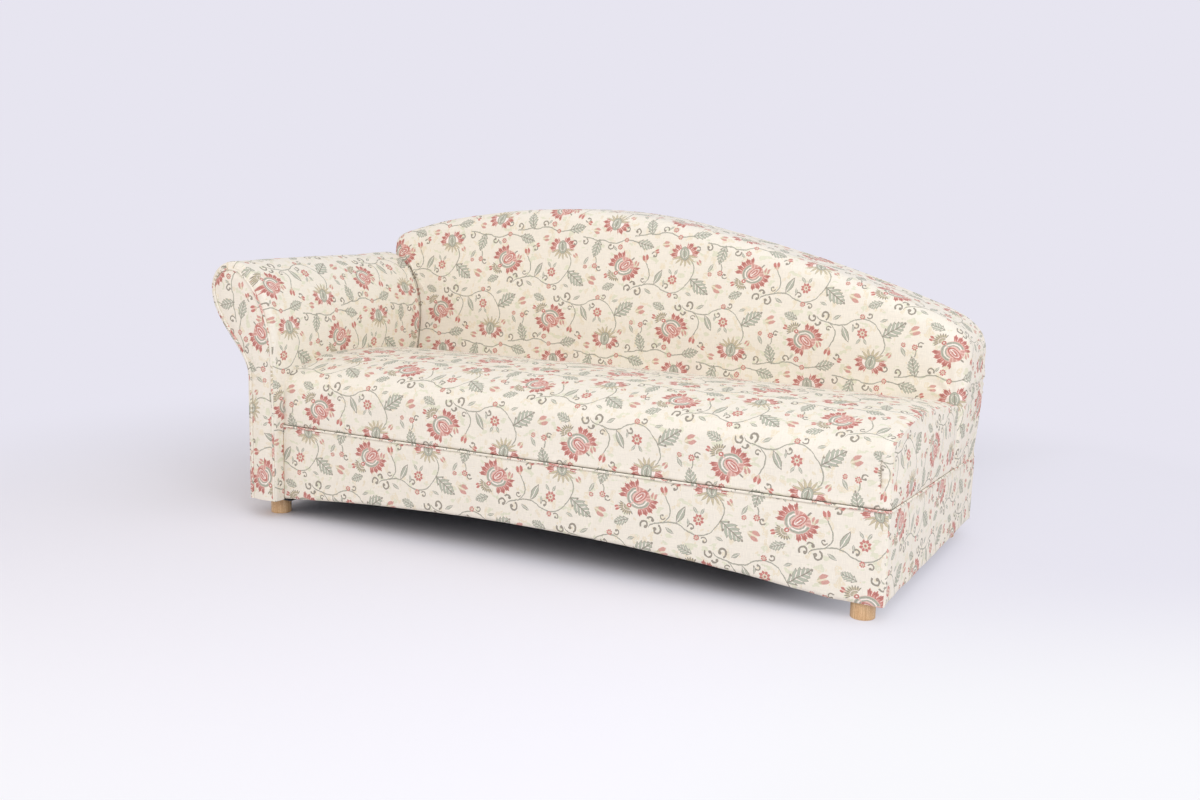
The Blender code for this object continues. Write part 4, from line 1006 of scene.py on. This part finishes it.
# %% Outside back
upper = outline[outline[:, 1] > 0.30]
line = even(np.vstack([[(BACK_LEFT, HEM)], upper, [(RIGHT, 0.235), (RIGHT, HEM)]]), 300)
turned_in = BACK_REAR_EDGE * smooth((line[:, 1:] - 0.225) / 0.060) + 0.001
line = line - turned_in * outward(line)
line[:, 1] = np.maximum(line[:, 1], HEM + 0.002)
foot = np.linspace(line[0], line[-1], len(line))
share = np.linspace(0, 1, 41)[None, :, None]
flat = foot[:, None] * (1 - share) + line[:, None] * share
belly = 4 * (share * (1 - share))[0, :, 0]
y = REAR - CLEAR + 0.002 * belly[None, :] * np.ones((len(line), 1))
grid = np.stack([flat[:, :, 0], y, flat[:, :, 1]], axis=2)[::-1]
laid = np.stack([-grid[:, :, 0] + 0.1, grid[:, :, 2]], axis=2)
outside_back = grid_cover("outside_back", grid, laid, wall=0.0025)
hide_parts("back_outside_cloth")

# %% [markdown]
# ## Arm
#
# The arm is a scroll: a straight post below, a roll above that leans out over it. Its cover runs lengthwise
# over the roll and down the inside. In front it turns over a soft edge to the facing, a flat panel edged with
# piping.

# %% The arm's outline
ARM_HEM, ARM_EDGE, ARM_EDGE_DEPTH = 0.050, 0.018, 0.012
ARM_FACE = ARM_FRONT - 0.0006  # where the cover begins at the facing
ridge = np.array((-0.893, 0.710))
nose = LEFT - 0.010  # the padded roll stands out a little past the CAD solid
turn = np.linspace(0, math.pi / 2, 41)[1:, None]
inner = np.hstack([ridge[0] + 0.146 * np.sin(turn), ridge[1] - 0.225 * (1 - np.cos(turn))])
scroll = np.vstack(
    [
        [(ARM_OUT, ARM_HEM)],
        bezier((ARM_OUT, 0.395), (ARM_OUT, 0.4590), (nose, 0.5400), (nose, 0.632)),
        bezier((nose, 0.632), (nose, 0.685), (-0.9307, 0.710), ridge)[1:],
        inner,
        [(ARM_IN, ARM_HEM)],
    ]
)
scroll = even(scroll, 240)
away = outward(scroll)
travel = run_of(scroll)
inside = smooth((travel - 0.75) / 0.35)
shoulder = np.exp(-(((travel - 0.90) / 0.13) ** 2))  # softest on the inner shoulder of the roll
soft_edge = ARM_EDGE - 0.012 * inside + 0.0115 * shoulder
CROWD = 0.6  # how much closer the rows of points lie near the back, where the cover tucks in
print("arm outline", round(float(travel[-1]), 3), "m")


def arm_grid(rows, edge, lead, body):
    """Points over some rows of the outline, from the facing's seam to the back, and their depths."""
    line, out, radius = scroll[rows], away[rows], soft_edge[rows]
    deep = np.minimum(radius, ARM_EDGE_DEPTH)
    stations, depths = [], []
    for angle in np.linspace(0, math.pi / 2, edge + 1):
        depths.append(ARM_FACE + deep * (1 - math.cos(angle)))
        stations.append(at_depth(line - (radius * (1 - math.sin(angle)))[:, None] * out, depths[-1]))
    first, second, last = ARM_FACE + deep, SEAT_FRONT - CLEAR, leaning(line[:, 1]) - CLEAR
    for share in np.linspace(0, 1, lead + 1)[1:]:
        depths.append(first * (1 - share) + second * share)
        stations.append(at_depth(line, depths[-1]))
    for step in np.linspace(0, 1, body + 1)[1:]:
        share = step + CROWD * step * (1 - step)
        depths.append(second * (1 - share) + last * share)
        stations.append(at_depth(line, depths[-1]))
    return np.array(stations).transpose(1, 0, 2), np.array(depths).T


# %% Arm pad
COARSE, FINE = (3, 2, 40), (6, 5, 84)
start = int(np.searchsorted(travel, 0.3455))
low = int(np.searchsorted(travel, travel[-1] - (0.242 - ARM_HEM)))
coarse_rows = np.arange(start, low + 1, 2)
grid, _ = arm_grid(coarse_rows, *COARSE)
index = numbered(grid)
faces = quads(index).tolist()
move = pressed(grid.reshape(-1, 3), faces, rim_of(index), pressure=2.0, slack=0.003, most=0.007)
move = move.reshape(grid.shape)
rows = np.arange(start, len(scroll))
grid, depth = arm_grid(rows, *FINE)
out = normals_of(grid)
where = np.minimum((rows - start) / 2, len(coarse_rows) - 1)
move = spread(spread(move, where, 0), places_on(COARSE, FINE), 1)
move[rows > low] = 0
behind = depth[:, -1:] - depth
pull = tucked(behind, reach=0.008, depth=0.012)
swell = 0.0018 * waves(grid, size=0.14, seed=11.0) * smooth(behind / 0.05)
swell = swell * smooth((depth - ARM_FRONT) / 0.04) * (rows <= low)[:, None]
grid = grid + move + out * (swell - pull)[:, :, None]
mark = travel[-1] - (0.488 - ARM_HEM)
up = np.broadcast_to((mark - travel[rows])[:, None] + 0.085, depth.shape)
laid = np.stack([depth + 0.249, up], axis=2)
index = numbered(grid)
split = low - start
faces = quads(index[: split + 1]).tolist() + quads(index[split:, : FINE[0] + FINE[1] + 1]).tolist()
flat = laid.reshape(-1, 2)
marks = [flat[face].tolist() for face in faces]
cap = index[: split + 1, -1].tolist()
faces.append(cap)
points = grid.reshape(-1, 3)
marks.append([(-points[i][0], points[i][2]) for i in cap])
arm_pad = cover("arm_pad", points, faces, marks, wall=0.005)
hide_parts("arm_cover", "arm_foam")

# %% [markdown]
# Below the roll the arm's outside is one flat panel of cloth. It turns over the same soft edge to the facing.

# %% Arm outside
rows = np.arange(0, start + 1)
line, out = scroll[rows], away[rows]
stations = []
for angle in np.linspace(0, math.pi / 2, 7):
    depth = ARM_FACE + ARM_EDGE_DEPTH * (1 - math.cos(angle))
    stations.append(at_depth(line - ARM_EDGE * (1 - math.sin(angle)) * out, depth))
for depth in np.linspace(ARM_FACE + ARM_EDGE_DEPTH, REAR - TUCK, 91)[1:]:
    stations.append(at_depth(line, depth))
grid = np.array(stations).transpose(1, 0, 2)
laid = np.stack([-grid[:, :, 1], grid[:, :, 2]], axis=2)
arm_outside = grid_cover("arm_outside", grid, laid, wall=0.0024)
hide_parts("arm_outside_cloth")

# %% [markdown]
# The facing is cut to the shape of the scroll, with the cloth turned so that the flowers lie on their side.

# %% Arm facing
line = scroll - (soft_edge + TUCK)[:, None] * away
line[:, 1] = np.maximum(line[:, 1], ARM_HEM)
top = int(np.argmax(line[:, 1]))
STEPS = 90
sides = even(line[: top + 1], STEPS), even(line[top:][::-1], STEPS)
share = np.linspace(0, 1, 25)
flat = sides[0][None] * (1 - share)[:, None, None] + sides[1][None] * share[:, None, None]
width = np.linalg.norm(sides[1] - sides[0], axis=1)[None, :]
near = np.minimum(share, 1 - share)[:, None] * width
crown = 0.0035 * smooth(near / 0.03)
grid = np.stack([flat[:, :, 0], ARM_FRONT - 0.0009 - crown, flat[:, :, 1]], axis=2)
index = numbered(grid)
index[:, -1] = index[0, -1]
faces = [list(dict.fromkeys(face)) for face in quads(index).tolist()]
faces = [face for face in faces if len(face) > 2]
points = grid.reshape(-1, 3)
marks = [[(points[i][2] - 0.055, -points[i][0] - 0.701) for i in face] for face in faces]
arm_facing = cover("arm_face", points, faces, marks, wall=0.0025)
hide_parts("arm_facing")

# %% [markdown]
# ## Borders
#
# Below the piping the frame is covered by borders, which are single layers of cloth. The front one follows an
# arch at its lower edge, where it is folded under. Both meet on the rounded corner of the open end.

# %% Front and end border
ARCH_MIDDLE, ARCH_HALF, ARCH_RISE = 0.0052, 0.8322, 0.047


def border(name, low, high, hem, offset):
    """A strip of cloth from its hem up to the piping, over tracks in X and Y for its lower and upper part."""
    top = seam(high[:, 1]) - TUCK
    share = np.linspace(0, 1, 41)
    z = hem[:, None] * (1 - share) + top[:, None] * share
    upper = smooth((z - 0.236) / 0.014)[:, :, None]
    grid = np.concatenate([low[:, None] * (1 - upper) + high[:, None] * upper, z[:, :, None]], axis=2)
    out = normals_of(grid)
    below, above = z - hem[:, None], top[:, None] - z
    from_corner = smooth((np.hypot(low[:, 0] - RIGHT, low[:, 1] - SEAT_FRONT) - 0.01) / 0.04)[:, None]
    folded_under = tucked(below, reach=0.008, depth=0.006) * (0.3 + 0.7 * from_corner)
    pull = tucked(above, reach=0.008, depth=0.0024) + folded_under
    ripple = 0.0022 * waves(grid, size=0.055, seed=5.0) * np.clip(1 - below / 0.06, 0, 1)
    swell = 0.0020 * waves(grid, size=0.20, seed=9.0) * smooth(above / 0.03)
    grid = grid + out * ((ripple + swell) * from_corner - pull)[:, :, None]
    laid = np.stack([np.broadcast_to(run_of(low)[:, None] + offset[0], z.shape), z + offset[1]], axis=2)
    return grid_cover(name, grid, laid, wall=0.0028)


bend = np.linspace(0, math.pi / 4, 7)
straight = np.stack([np.linspace(ARM_IN + 0.0006, RIGHT - CORNER, 301), np.full(301, SEAT_FRONT)], axis=1)
low, high = (np.vstack([straight[:-1], end_corner(radius, bend)]) for radius in (HEM_CORNER, CORNER))
arch = ARCH_RISE * np.maximum(0, 1 - ((low[:, 0] - ARCH_MIDDLE) / ARCH_HALF) ** 2)
front_border = border("front_border_cloth", low, high, HEM + arch, (ARM_IN + 0.111, -0.123))
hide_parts("front_border")

bend = np.linspace(math.pi / 4, math.pi / 2, 7)
straight = np.stack([np.full(151, RIGHT), np.linspace(SEAT_FRONT + CORNER, REAR - REAR_CLEAR, 151)], axis=1)
low, high = (np.vstack([end_corner(radius, bend), straight[1:]]) for radius in (HEM_CORNER, CORNER))
end_border = border("end_border_cloth", low, high, np.full(len(low), HEM), (SEAT_FRONT - 0.002, -0.130))
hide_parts("end_border")

# %% [markdown]
# ## Piping
#
# Piping is a cord of about 6 mm in a strip of the cover cloth. Here it is a tube swept along the seam, with
# cloth coordinates that run along it, so that fragments of the flowers appear on it as on the real one.

# %% Piping along the seat and round the facing
PIPING, PIPING_SIDES = 0.0031, 12  # radius and sides of the tube


def piping(name, path, across, offset, thick=PIPING, step=0.006, finish=jacquard):
    """A closed tube along a path. across is a direction that is never along the path."""
    path = even(path, int(run_of(path)[-1] / step))
    tangent = np.gradient(path, axis=0)
    tangent /= np.linalg.norm(tangent, axis=1)[:, None]
    side = np.cross(tangent, across)
    side /= np.linalg.norm(side, axis=1)[:, None]
    other = np.cross(side, tangent)
    angle = np.linspace(0, 2 * math.pi, PIPING_SIDES + 1)[:-1]
    radius = thick * (1 + 0.04 * waves(path, size=0.02, seed=13.0))
    ring = np.cos(angle)[None, :, None] * side[:, None] + np.sin(angle)[None, :, None] * other[:, None]
    grid = path[:, None] + radius[:, None, None] * ring
    index = numbered(grid)
    wrapped = np.hstack([index, index[:, :1]])
    along = run_of(path)
    faces, marks = quads(wrapped).tolist(), []
    for i in range(len(path) - 1):
        for j in range(PIPING_SIDES):
            low, high = (offset + turn * 2 * math.pi / PIPING_SIDES * thick for turn in (j, j + 1))
            marks.append([(along[i], low), (along[i + 1], low), (along[i + 1], high), (along[i], high)])
    faces += [index[0][::-1].tolist(), index[-1].tolist()]
    marks += [[(0.0, offset)] * PIPING_SIDES, [(along[-1], offset)] * PIPING_SIDES]
    print(name, round(float(along[-1]), 2), "m")
    return rides(name, cloth_mesh(name, grid.reshape(-1, 3), faces, marks), finish)


corner = end_corner(CORNER, np.linspace(0, math.pi / 2, 13))
plan = np.vstack([[(ARM_IN + 0.002, SEAT_FRONT)], corner, [(RIGHT, REAR - 0.012)]])
path = np.column_stack([plan, seam(plan[:, 1])])
seat_piping = piping("seat_piping", path, across=(0, 0, 1), offset=0.075)
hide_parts("seat_welt")
line = scroll - soft_edge[:, None] * away
line[:, 1] = np.maximum(line[:, 1], ARM_HEM + 0.001)
path = at_depth(line, ARM_FRONT - 0.0018)
arm_piping = piping("arm_piping", path, across=(0, 1, 0), offset=0.090)
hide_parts("arm_welt")

# %% [markdown]
# The corner of the seat cover is closed by hand with a twisted cotton thread, which crosses the seam from
# side to side. Matt and a little hairy, a shade darker than the cloth.

# %% Hand stitches at the corner
STITCH, STITCH_STEP, STITCH_OUT = 0.0005, 0.0010, 0.0003  # radius, distance between rings, and lift
TWIST = 900.0  # per metre, about one turn of the plies in 1.1 mm


def thread_and_shade_cord(name, dark, pale):
    """Twisted cotton: matt, with small changes of tone from ply to ply. In dark brown it is the cord of
    painted shade in the arm's crevice.
    """
    global tree
    finish = bpy.data.materials.new(name)
    tree = empty_tree(finish)
    plies = add("ShaderNodeTexNoise", add("ShaderNodeTexCoord").node.outputs["Object"], TWIST, 2.0)
    tone = add(MIX, plies, linear(dark), linear(pale), data_type="RGBA")
    add("ShaderNodeOutputMaterial", add("ShaderNodeBsdfPrincipled", tone, 0.0, 0.85))
    return finish


pale_thread = thread_and_shade_cord("twisted_cotton_pale", "#A89D8C", "#D0C6B5")
path = stitch_path - (0, STITCH_OUT, 0)
stitches = piping("corner_stitches", path, (0, 1, 0), 0.0, STITCH, STITCH_STEP, pale_thread)

# %% [markdown]
# Where the arm meets the back, the two covers are pulled into a narrow crevice, whose shade is painted: a
# thin cord of dark brown thread lies along it. Rays against the back's cover find the cord's place on it.

# %% Painted shade in the crevice between the arm and the back
SHADE_CORD, SHADE_CORD_STEP = 0.0010, 0.004  # radius of the cord of painted shade, and distance between its rings
SHADE_CORD_OUT, SHADE_CORD_LIFT = 0.0010, 0.0004  # from the arm's outline, and from the back's cover
SHADE_CORD_LOW, SHADE_CORD_HIGH = 0.400, 0.675
# Painted shade: this dark brown cord stands for the shade inside the crevice.
shade_cord_finish = thread_and_shade_cord("painted_crevice_shade", "#75634C", "#968369")
bpy.context.view_layer.update()
path = []
for x, z in scroll + SHADE_CORD_OUT * away:
    hit, spot, _, _ = back_pad.ray_cast((x, ARM_FRONT, z), (0, 1, 0))
    if hit and x > ridge[0] and SHADE_CORD_LOW < z < SHADE_CORD_HIGH:
        path.append((x, spot.y - SHADE_CORD_LIFT, z))
crevice_shade_cord = piping("crevice_shade_cord", np.array(path), (0, 1, 0), 0.0, SHADE_CORD, SHADE_CORD_STEP, shade_cord_finish)
print("seam from", np.round(path[0], 3), "to", np.round(path[-1], 3))

# %% [markdown]
# ## Legs
#
# Beech turned on a lathe and waxed: pale brown with fine darker pores along the grain and short flecks.
# The profile is turned round the leg's axis, with a small rounding at both ends.

# %% Beech
beech = bpy.data.materials.new("beech_turned_waxed")
tree = empty_tree(beech)
grain = add(VECTOR, add("ShaderNodeTexCoord").node.outputs["Object"], 1000.0, operation="SCALE")
lines = add("ShaderNodeTexNoise", add(VECTOR, grain, (0.35, 0.35, 0.02), operation="MULTIPLY"), 1.0, 4.0, 0.6)
pores = add("ShaderNodeTexNoise", add(VECTOR, grain, (1.6, 1.6, 0.22), operation="MULTIPLY"), 1.0, 1.0)
wood = add("ShaderNodeValToRGB", lines).node
for stop, position, code in zip(wood.color_ramp.elements, (0.35, 0.68), ("#D4AA7B", "#EFCDA0")):
    stop.position = position
    stop.color = linear(code)
colour = layered(wood.outputs[0], [(linear("#BA8D60"), (pores, 0.62, 9.0))])
shader = add("ShaderNodeBsdfPrincipled").node
tree.links.new(colour, shader.inputs["Base Color"])
tree.links.new(add("ShaderNodeBump", 0.15, 0.0003, None, pores), shader.inputs["Normal"])
shader.inputs["Roughness"].default_value = 0.42
add("ShaderNodeOutputMaterial", shader.outputs[0])
print("beech:", len(tree.nodes), "nodes")

# %% Turned legs
LEG_RADIUS, LEG_HEIGHT, LEG_ROUNDING = 0.0285, 0.0503, 0.0025
LEG_PLACES = {
    "front_left": (-0.795, -0.388),
    "front_right": (0.904, -0.388),
    "rear_left": (-0.795, 0.410),
    "rear_right": (0.904, 0.410),
}
bend = np.linspace(0, math.pi / 2, 6)
foot = [(LEG_RADIUS - LEG_ROUNDING * (1 - math.sin(a)), LEG_ROUNDING * (1 - math.cos(a))) for a in bend]
shaft = [(LEG_RADIUS, LEG_ROUNDING + (LEG_HEIGHT - 2 * LEG_ROUNDING) * step / 8) for step in range(1, 8)]
head = [(radius, LEG_HEIGHT - z) for radius, z in reversed(foot)]
profile = np.array(foot + shaft + head)
SIDES, LEG_CREASE = 72, 50  # sides of a leg, and degrees above which an edge looks sharp
for place, (x, y) in LEG_PLACES.items():
    angle = np.linspace(0, 2 * math.pi, SIDES + 1)[:-1]
    ring = np.stack([np.cos(angle), np.sin(angle)], axis=1)
    flat = profile[None, :, :1] * ring[:, None, :]
    height = np.broadcast_to(profile[None, :, 1:], (SIDES, len(profile), 1))
    points = np.concatenate([flat, height], axis=2).reshape(-1, 3) + (x, y, 0)
    index = np.arange(len(points)).reshape(SIDES, len(profile))
    faces = quads(np.vstack([index, index[:1]])).tolist()
    faces += [index[::-1, 0].tolist(), index[:, -1].tolist()]
    mesh = bpy.data.meshes.new("turned_leg_" + place)
    mesh.from_pydata(points.tolist(), [], faces)
    mesh.shade_smooth()
    mesh.set_sharp_from_angle(angle=math.radians(LEG_CREASE))
    leg = rides("turned_leg_" + place, mesh, beech)
    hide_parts("leg_" + place)
print(len(LEG_PLACES), "legs of", 2000 * LEG_RADIUS, "mm")

# %% [markdown]
# ## Hidden pieces
#
# The frame and the webbing keep their CAD solids, which are plain in reality too, and get their own finishes.

# %% Pine, plywood, webbing, felt and fleece
PLANED = {"stretch": (0.04, 1.0, 1.0), "grit": 0.6, "bump": (0.2, 0.0004)}  # streaks along the piece
FIBROUS = {"stretch": (1.0, 1.0, 1.0), "grit": 0.7, "bump": (0.4, 0.0005)}  # threads or loose fibres


def raw(name, pale, dark, spacing, roughness, stretch, grit, bump):
    """A plain finish in two tones of grain or fibre, whose spacing is in mm."""
    global tree
    finish = bpy.data.materials.new(name)
    tree = empty_tree(finish)
    place = add(VECTOR, add("ShaderNodeTexCoord").node.outputs["Object"], 1000.0 / spacing, operation="SCALE")
    fibre = add("ShaderNodeTexNoise", add(VECTOR, place, stretch, operation="MULTIPLY"), 1.0, 3.0, grit)
    colour = add("ShaderNodeValToRGB", fibre).node
    for stop, position, code in zip(colour.color_ramp.elements, (0.35, 0.65), (dark, pale)):
        stop.position = position
        stop.color = linear(code)
    shader = add("ShaderNodeBsdfPrincipled").node
    tree.links.new(colour.outputs[0], shader.inputs["Base Color"])
    tree.links.new(add("ShaderNodeBump", *bump, None, fibre), shader.inputs["Normal"])
    shader.inputs["Roughness"].default_value = roughness
    add("ShaderNodeOutputMaterial", shader.outputs[0])
    return finish


pine = raw("pine_planed", "#E3C79A", "#C79E66", 6.0, 0.65, **PLANED)  # pale, with soft narrow streaks
plywood = raw("birch_plywood_rotary_cut", "#DDC49B", "#C2A274", 12.0, 0.65, **PLANED)  # broad wild grain
webbing = raw("jute_webbing_woven", "#8A7359", "#5C4A38", 2.5, 0.9, **FIBROUS)  # rough brown bands
felt = raw("wool_felt_needled", "#A2A19E", "#7B7A78", 3.0, 0.95, **FIBROUS)  # mottled grey, quite dull
dust = raw("polypropylene_fleece_spunbonded", "#34343A", "#222226", 1.5, 0.85, **FIBROUS)  # black, fine
print("five plain finishes")

# %% [markdown]
# The bolts are zinc-plated steel. The plating is bright, but dulled by fine scratches along the shank.

# %% Steel, and all finishes on their solids
steel = bpy.data.materials.new("steel_zinc_plated")
tree = empty_tree(steel)
SCRATCH = (900.0, 900.0, 60.0)  # per metre: about 1.1 mm wide and 17 mm long
scratch = add(VECTOR, add("ShaderNodeTexCoord").node.outputs["Object"], SCRATCH, operation="MULTIPLY")
rough = add("ShaderNodeMapRange", add("ShaderNodeTexNoise", scratch, 1.0, 2.0), 0.3, 0.7, 0.28, 0.42)
shader = add("ShaderNodeBsdfPrincipled").node
shader.inputs["Base Color"].default_value = linear("#C9CBCD")
shader.inputs["Metallic"].default_value = 1.0
tree.links.new(rough, shader.inputs["Roughness"])
add("ShaderNodeOutputMaterial", shader.outputs[0])

FINISHES = {"pine": pine, "plywood": plywood, "webbing": webbing, "felt": felt, "dust": dust, "steel": steel}
shown = 0
for subpart in frame["record"]["subparts"]:
    finish = FINISHES.get(subpart["material_slot"])
    if finish:
        node = nodes[subpart["node"]]
        node.data.materials.clear()
        node.data.materials.append(finish)
        shown += 1
print(shown, "hidden pieces have their own finish")

# %% [markdown]
# Black fleece closes the underside. It is stapled along the rails only, so its middle hangs a little and
# waves. The CAD sheet has the right outline and the holes for the legs: a copy of it is cut into small
# triangles, whose corners then sink.

# %% Fleece below the frame
FLEECE_SAG, FLEECE_WAVE = 0.004, 0.0012
FLEECE_CUTS = (0.40, 0.20, 0.10, 0.06)  # edges longer than these are cut in turn
WELD = 0.00001


def fleece(name, node):
    """A sagging copy of a CAD sheet, which replaces it."""
    shell = bmesh.new()
    shell.from_mesh(nodes[node].data)
    bmesh.ops.remove_doubles(shell, verts=shell.verts, dist=WELD)
    bmesh.ops.triangulate(shell, faces=shell.faces)
    for longest in FLEECE_CUTS:
        long_edges = [edge for edge in shell.edges if edge.calc_length() > longest]
        bmesh.ops.subdivide_edges(shell, edges=long_edges, cuts=1)
        bmesh.ops.triangulate(shell, faces=shell.faces)
    low, high = (Vector(corner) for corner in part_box(node))
    for corner in shell.verts:
        along, across = ((corner.co[i] - low[i]) / (high[i] - low[i]) for i in (0, 1))
        middle = 16 * along * (1 - along) * across * (1 - across)
        wave = noise.noise((corner.co.x / 0.12, corner.co.y / 0.07, 5.0))
        corner.co.z -= (FLEECE_SAG + FLEECE_WAVE * wave) * middle
    mesh = bpy.data.meshes.new(name)
    shell.to_mesh(mesh)
    shell.free()
    made = rides(name, mesh, dust)
    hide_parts(node)
    return made


seat_fleece = fleece("seat_fleece", "dust_cloth")
arm_fleece = fleece("arm_fleece", "arm_dust_cloth")
print(len(seat_fleece.data.polygons) + len(arm_fleece.data.polygons), "triangles of fleece")

# %% [markdown]
# ## Cloth sizes
#
# A sheet of cloth is listed with the size it was cut to. Borders, panels and fleece are held tight on the
# frame, so their cut is what they cover now.


def cut_area(piece):
    """Area of one side of a cloth piece. Both sides and the thin rim are in its mesh."""
    return sum(face.area for face in piece.data.polygons) / 2


STRETCHED = {
    front_border: (1.702, 0.215, ["front_rail"]),
    end_border: (0.895, 0.215, ["right_rail"]),
    outside_back: (1.800, 0.810, ["back_rear_board"]),
    arm_outside: (0.950, 0.372, ["arm_outer_board"]),
    arm_facing: (0.210, 0.650, ["arm_front_board"]),
    seat_fleece: (1.690, 0.890, ["front_rail", "right_rail"]),
    arm_fleece: (0.120, 0.890, ["left_rail"]),
}
for piece, (width, length, carrier) in STRETCHED.items():
    print(piece.name, "cut", width, "x", length, "m,", round(cut_area(piece), 3), "m2")
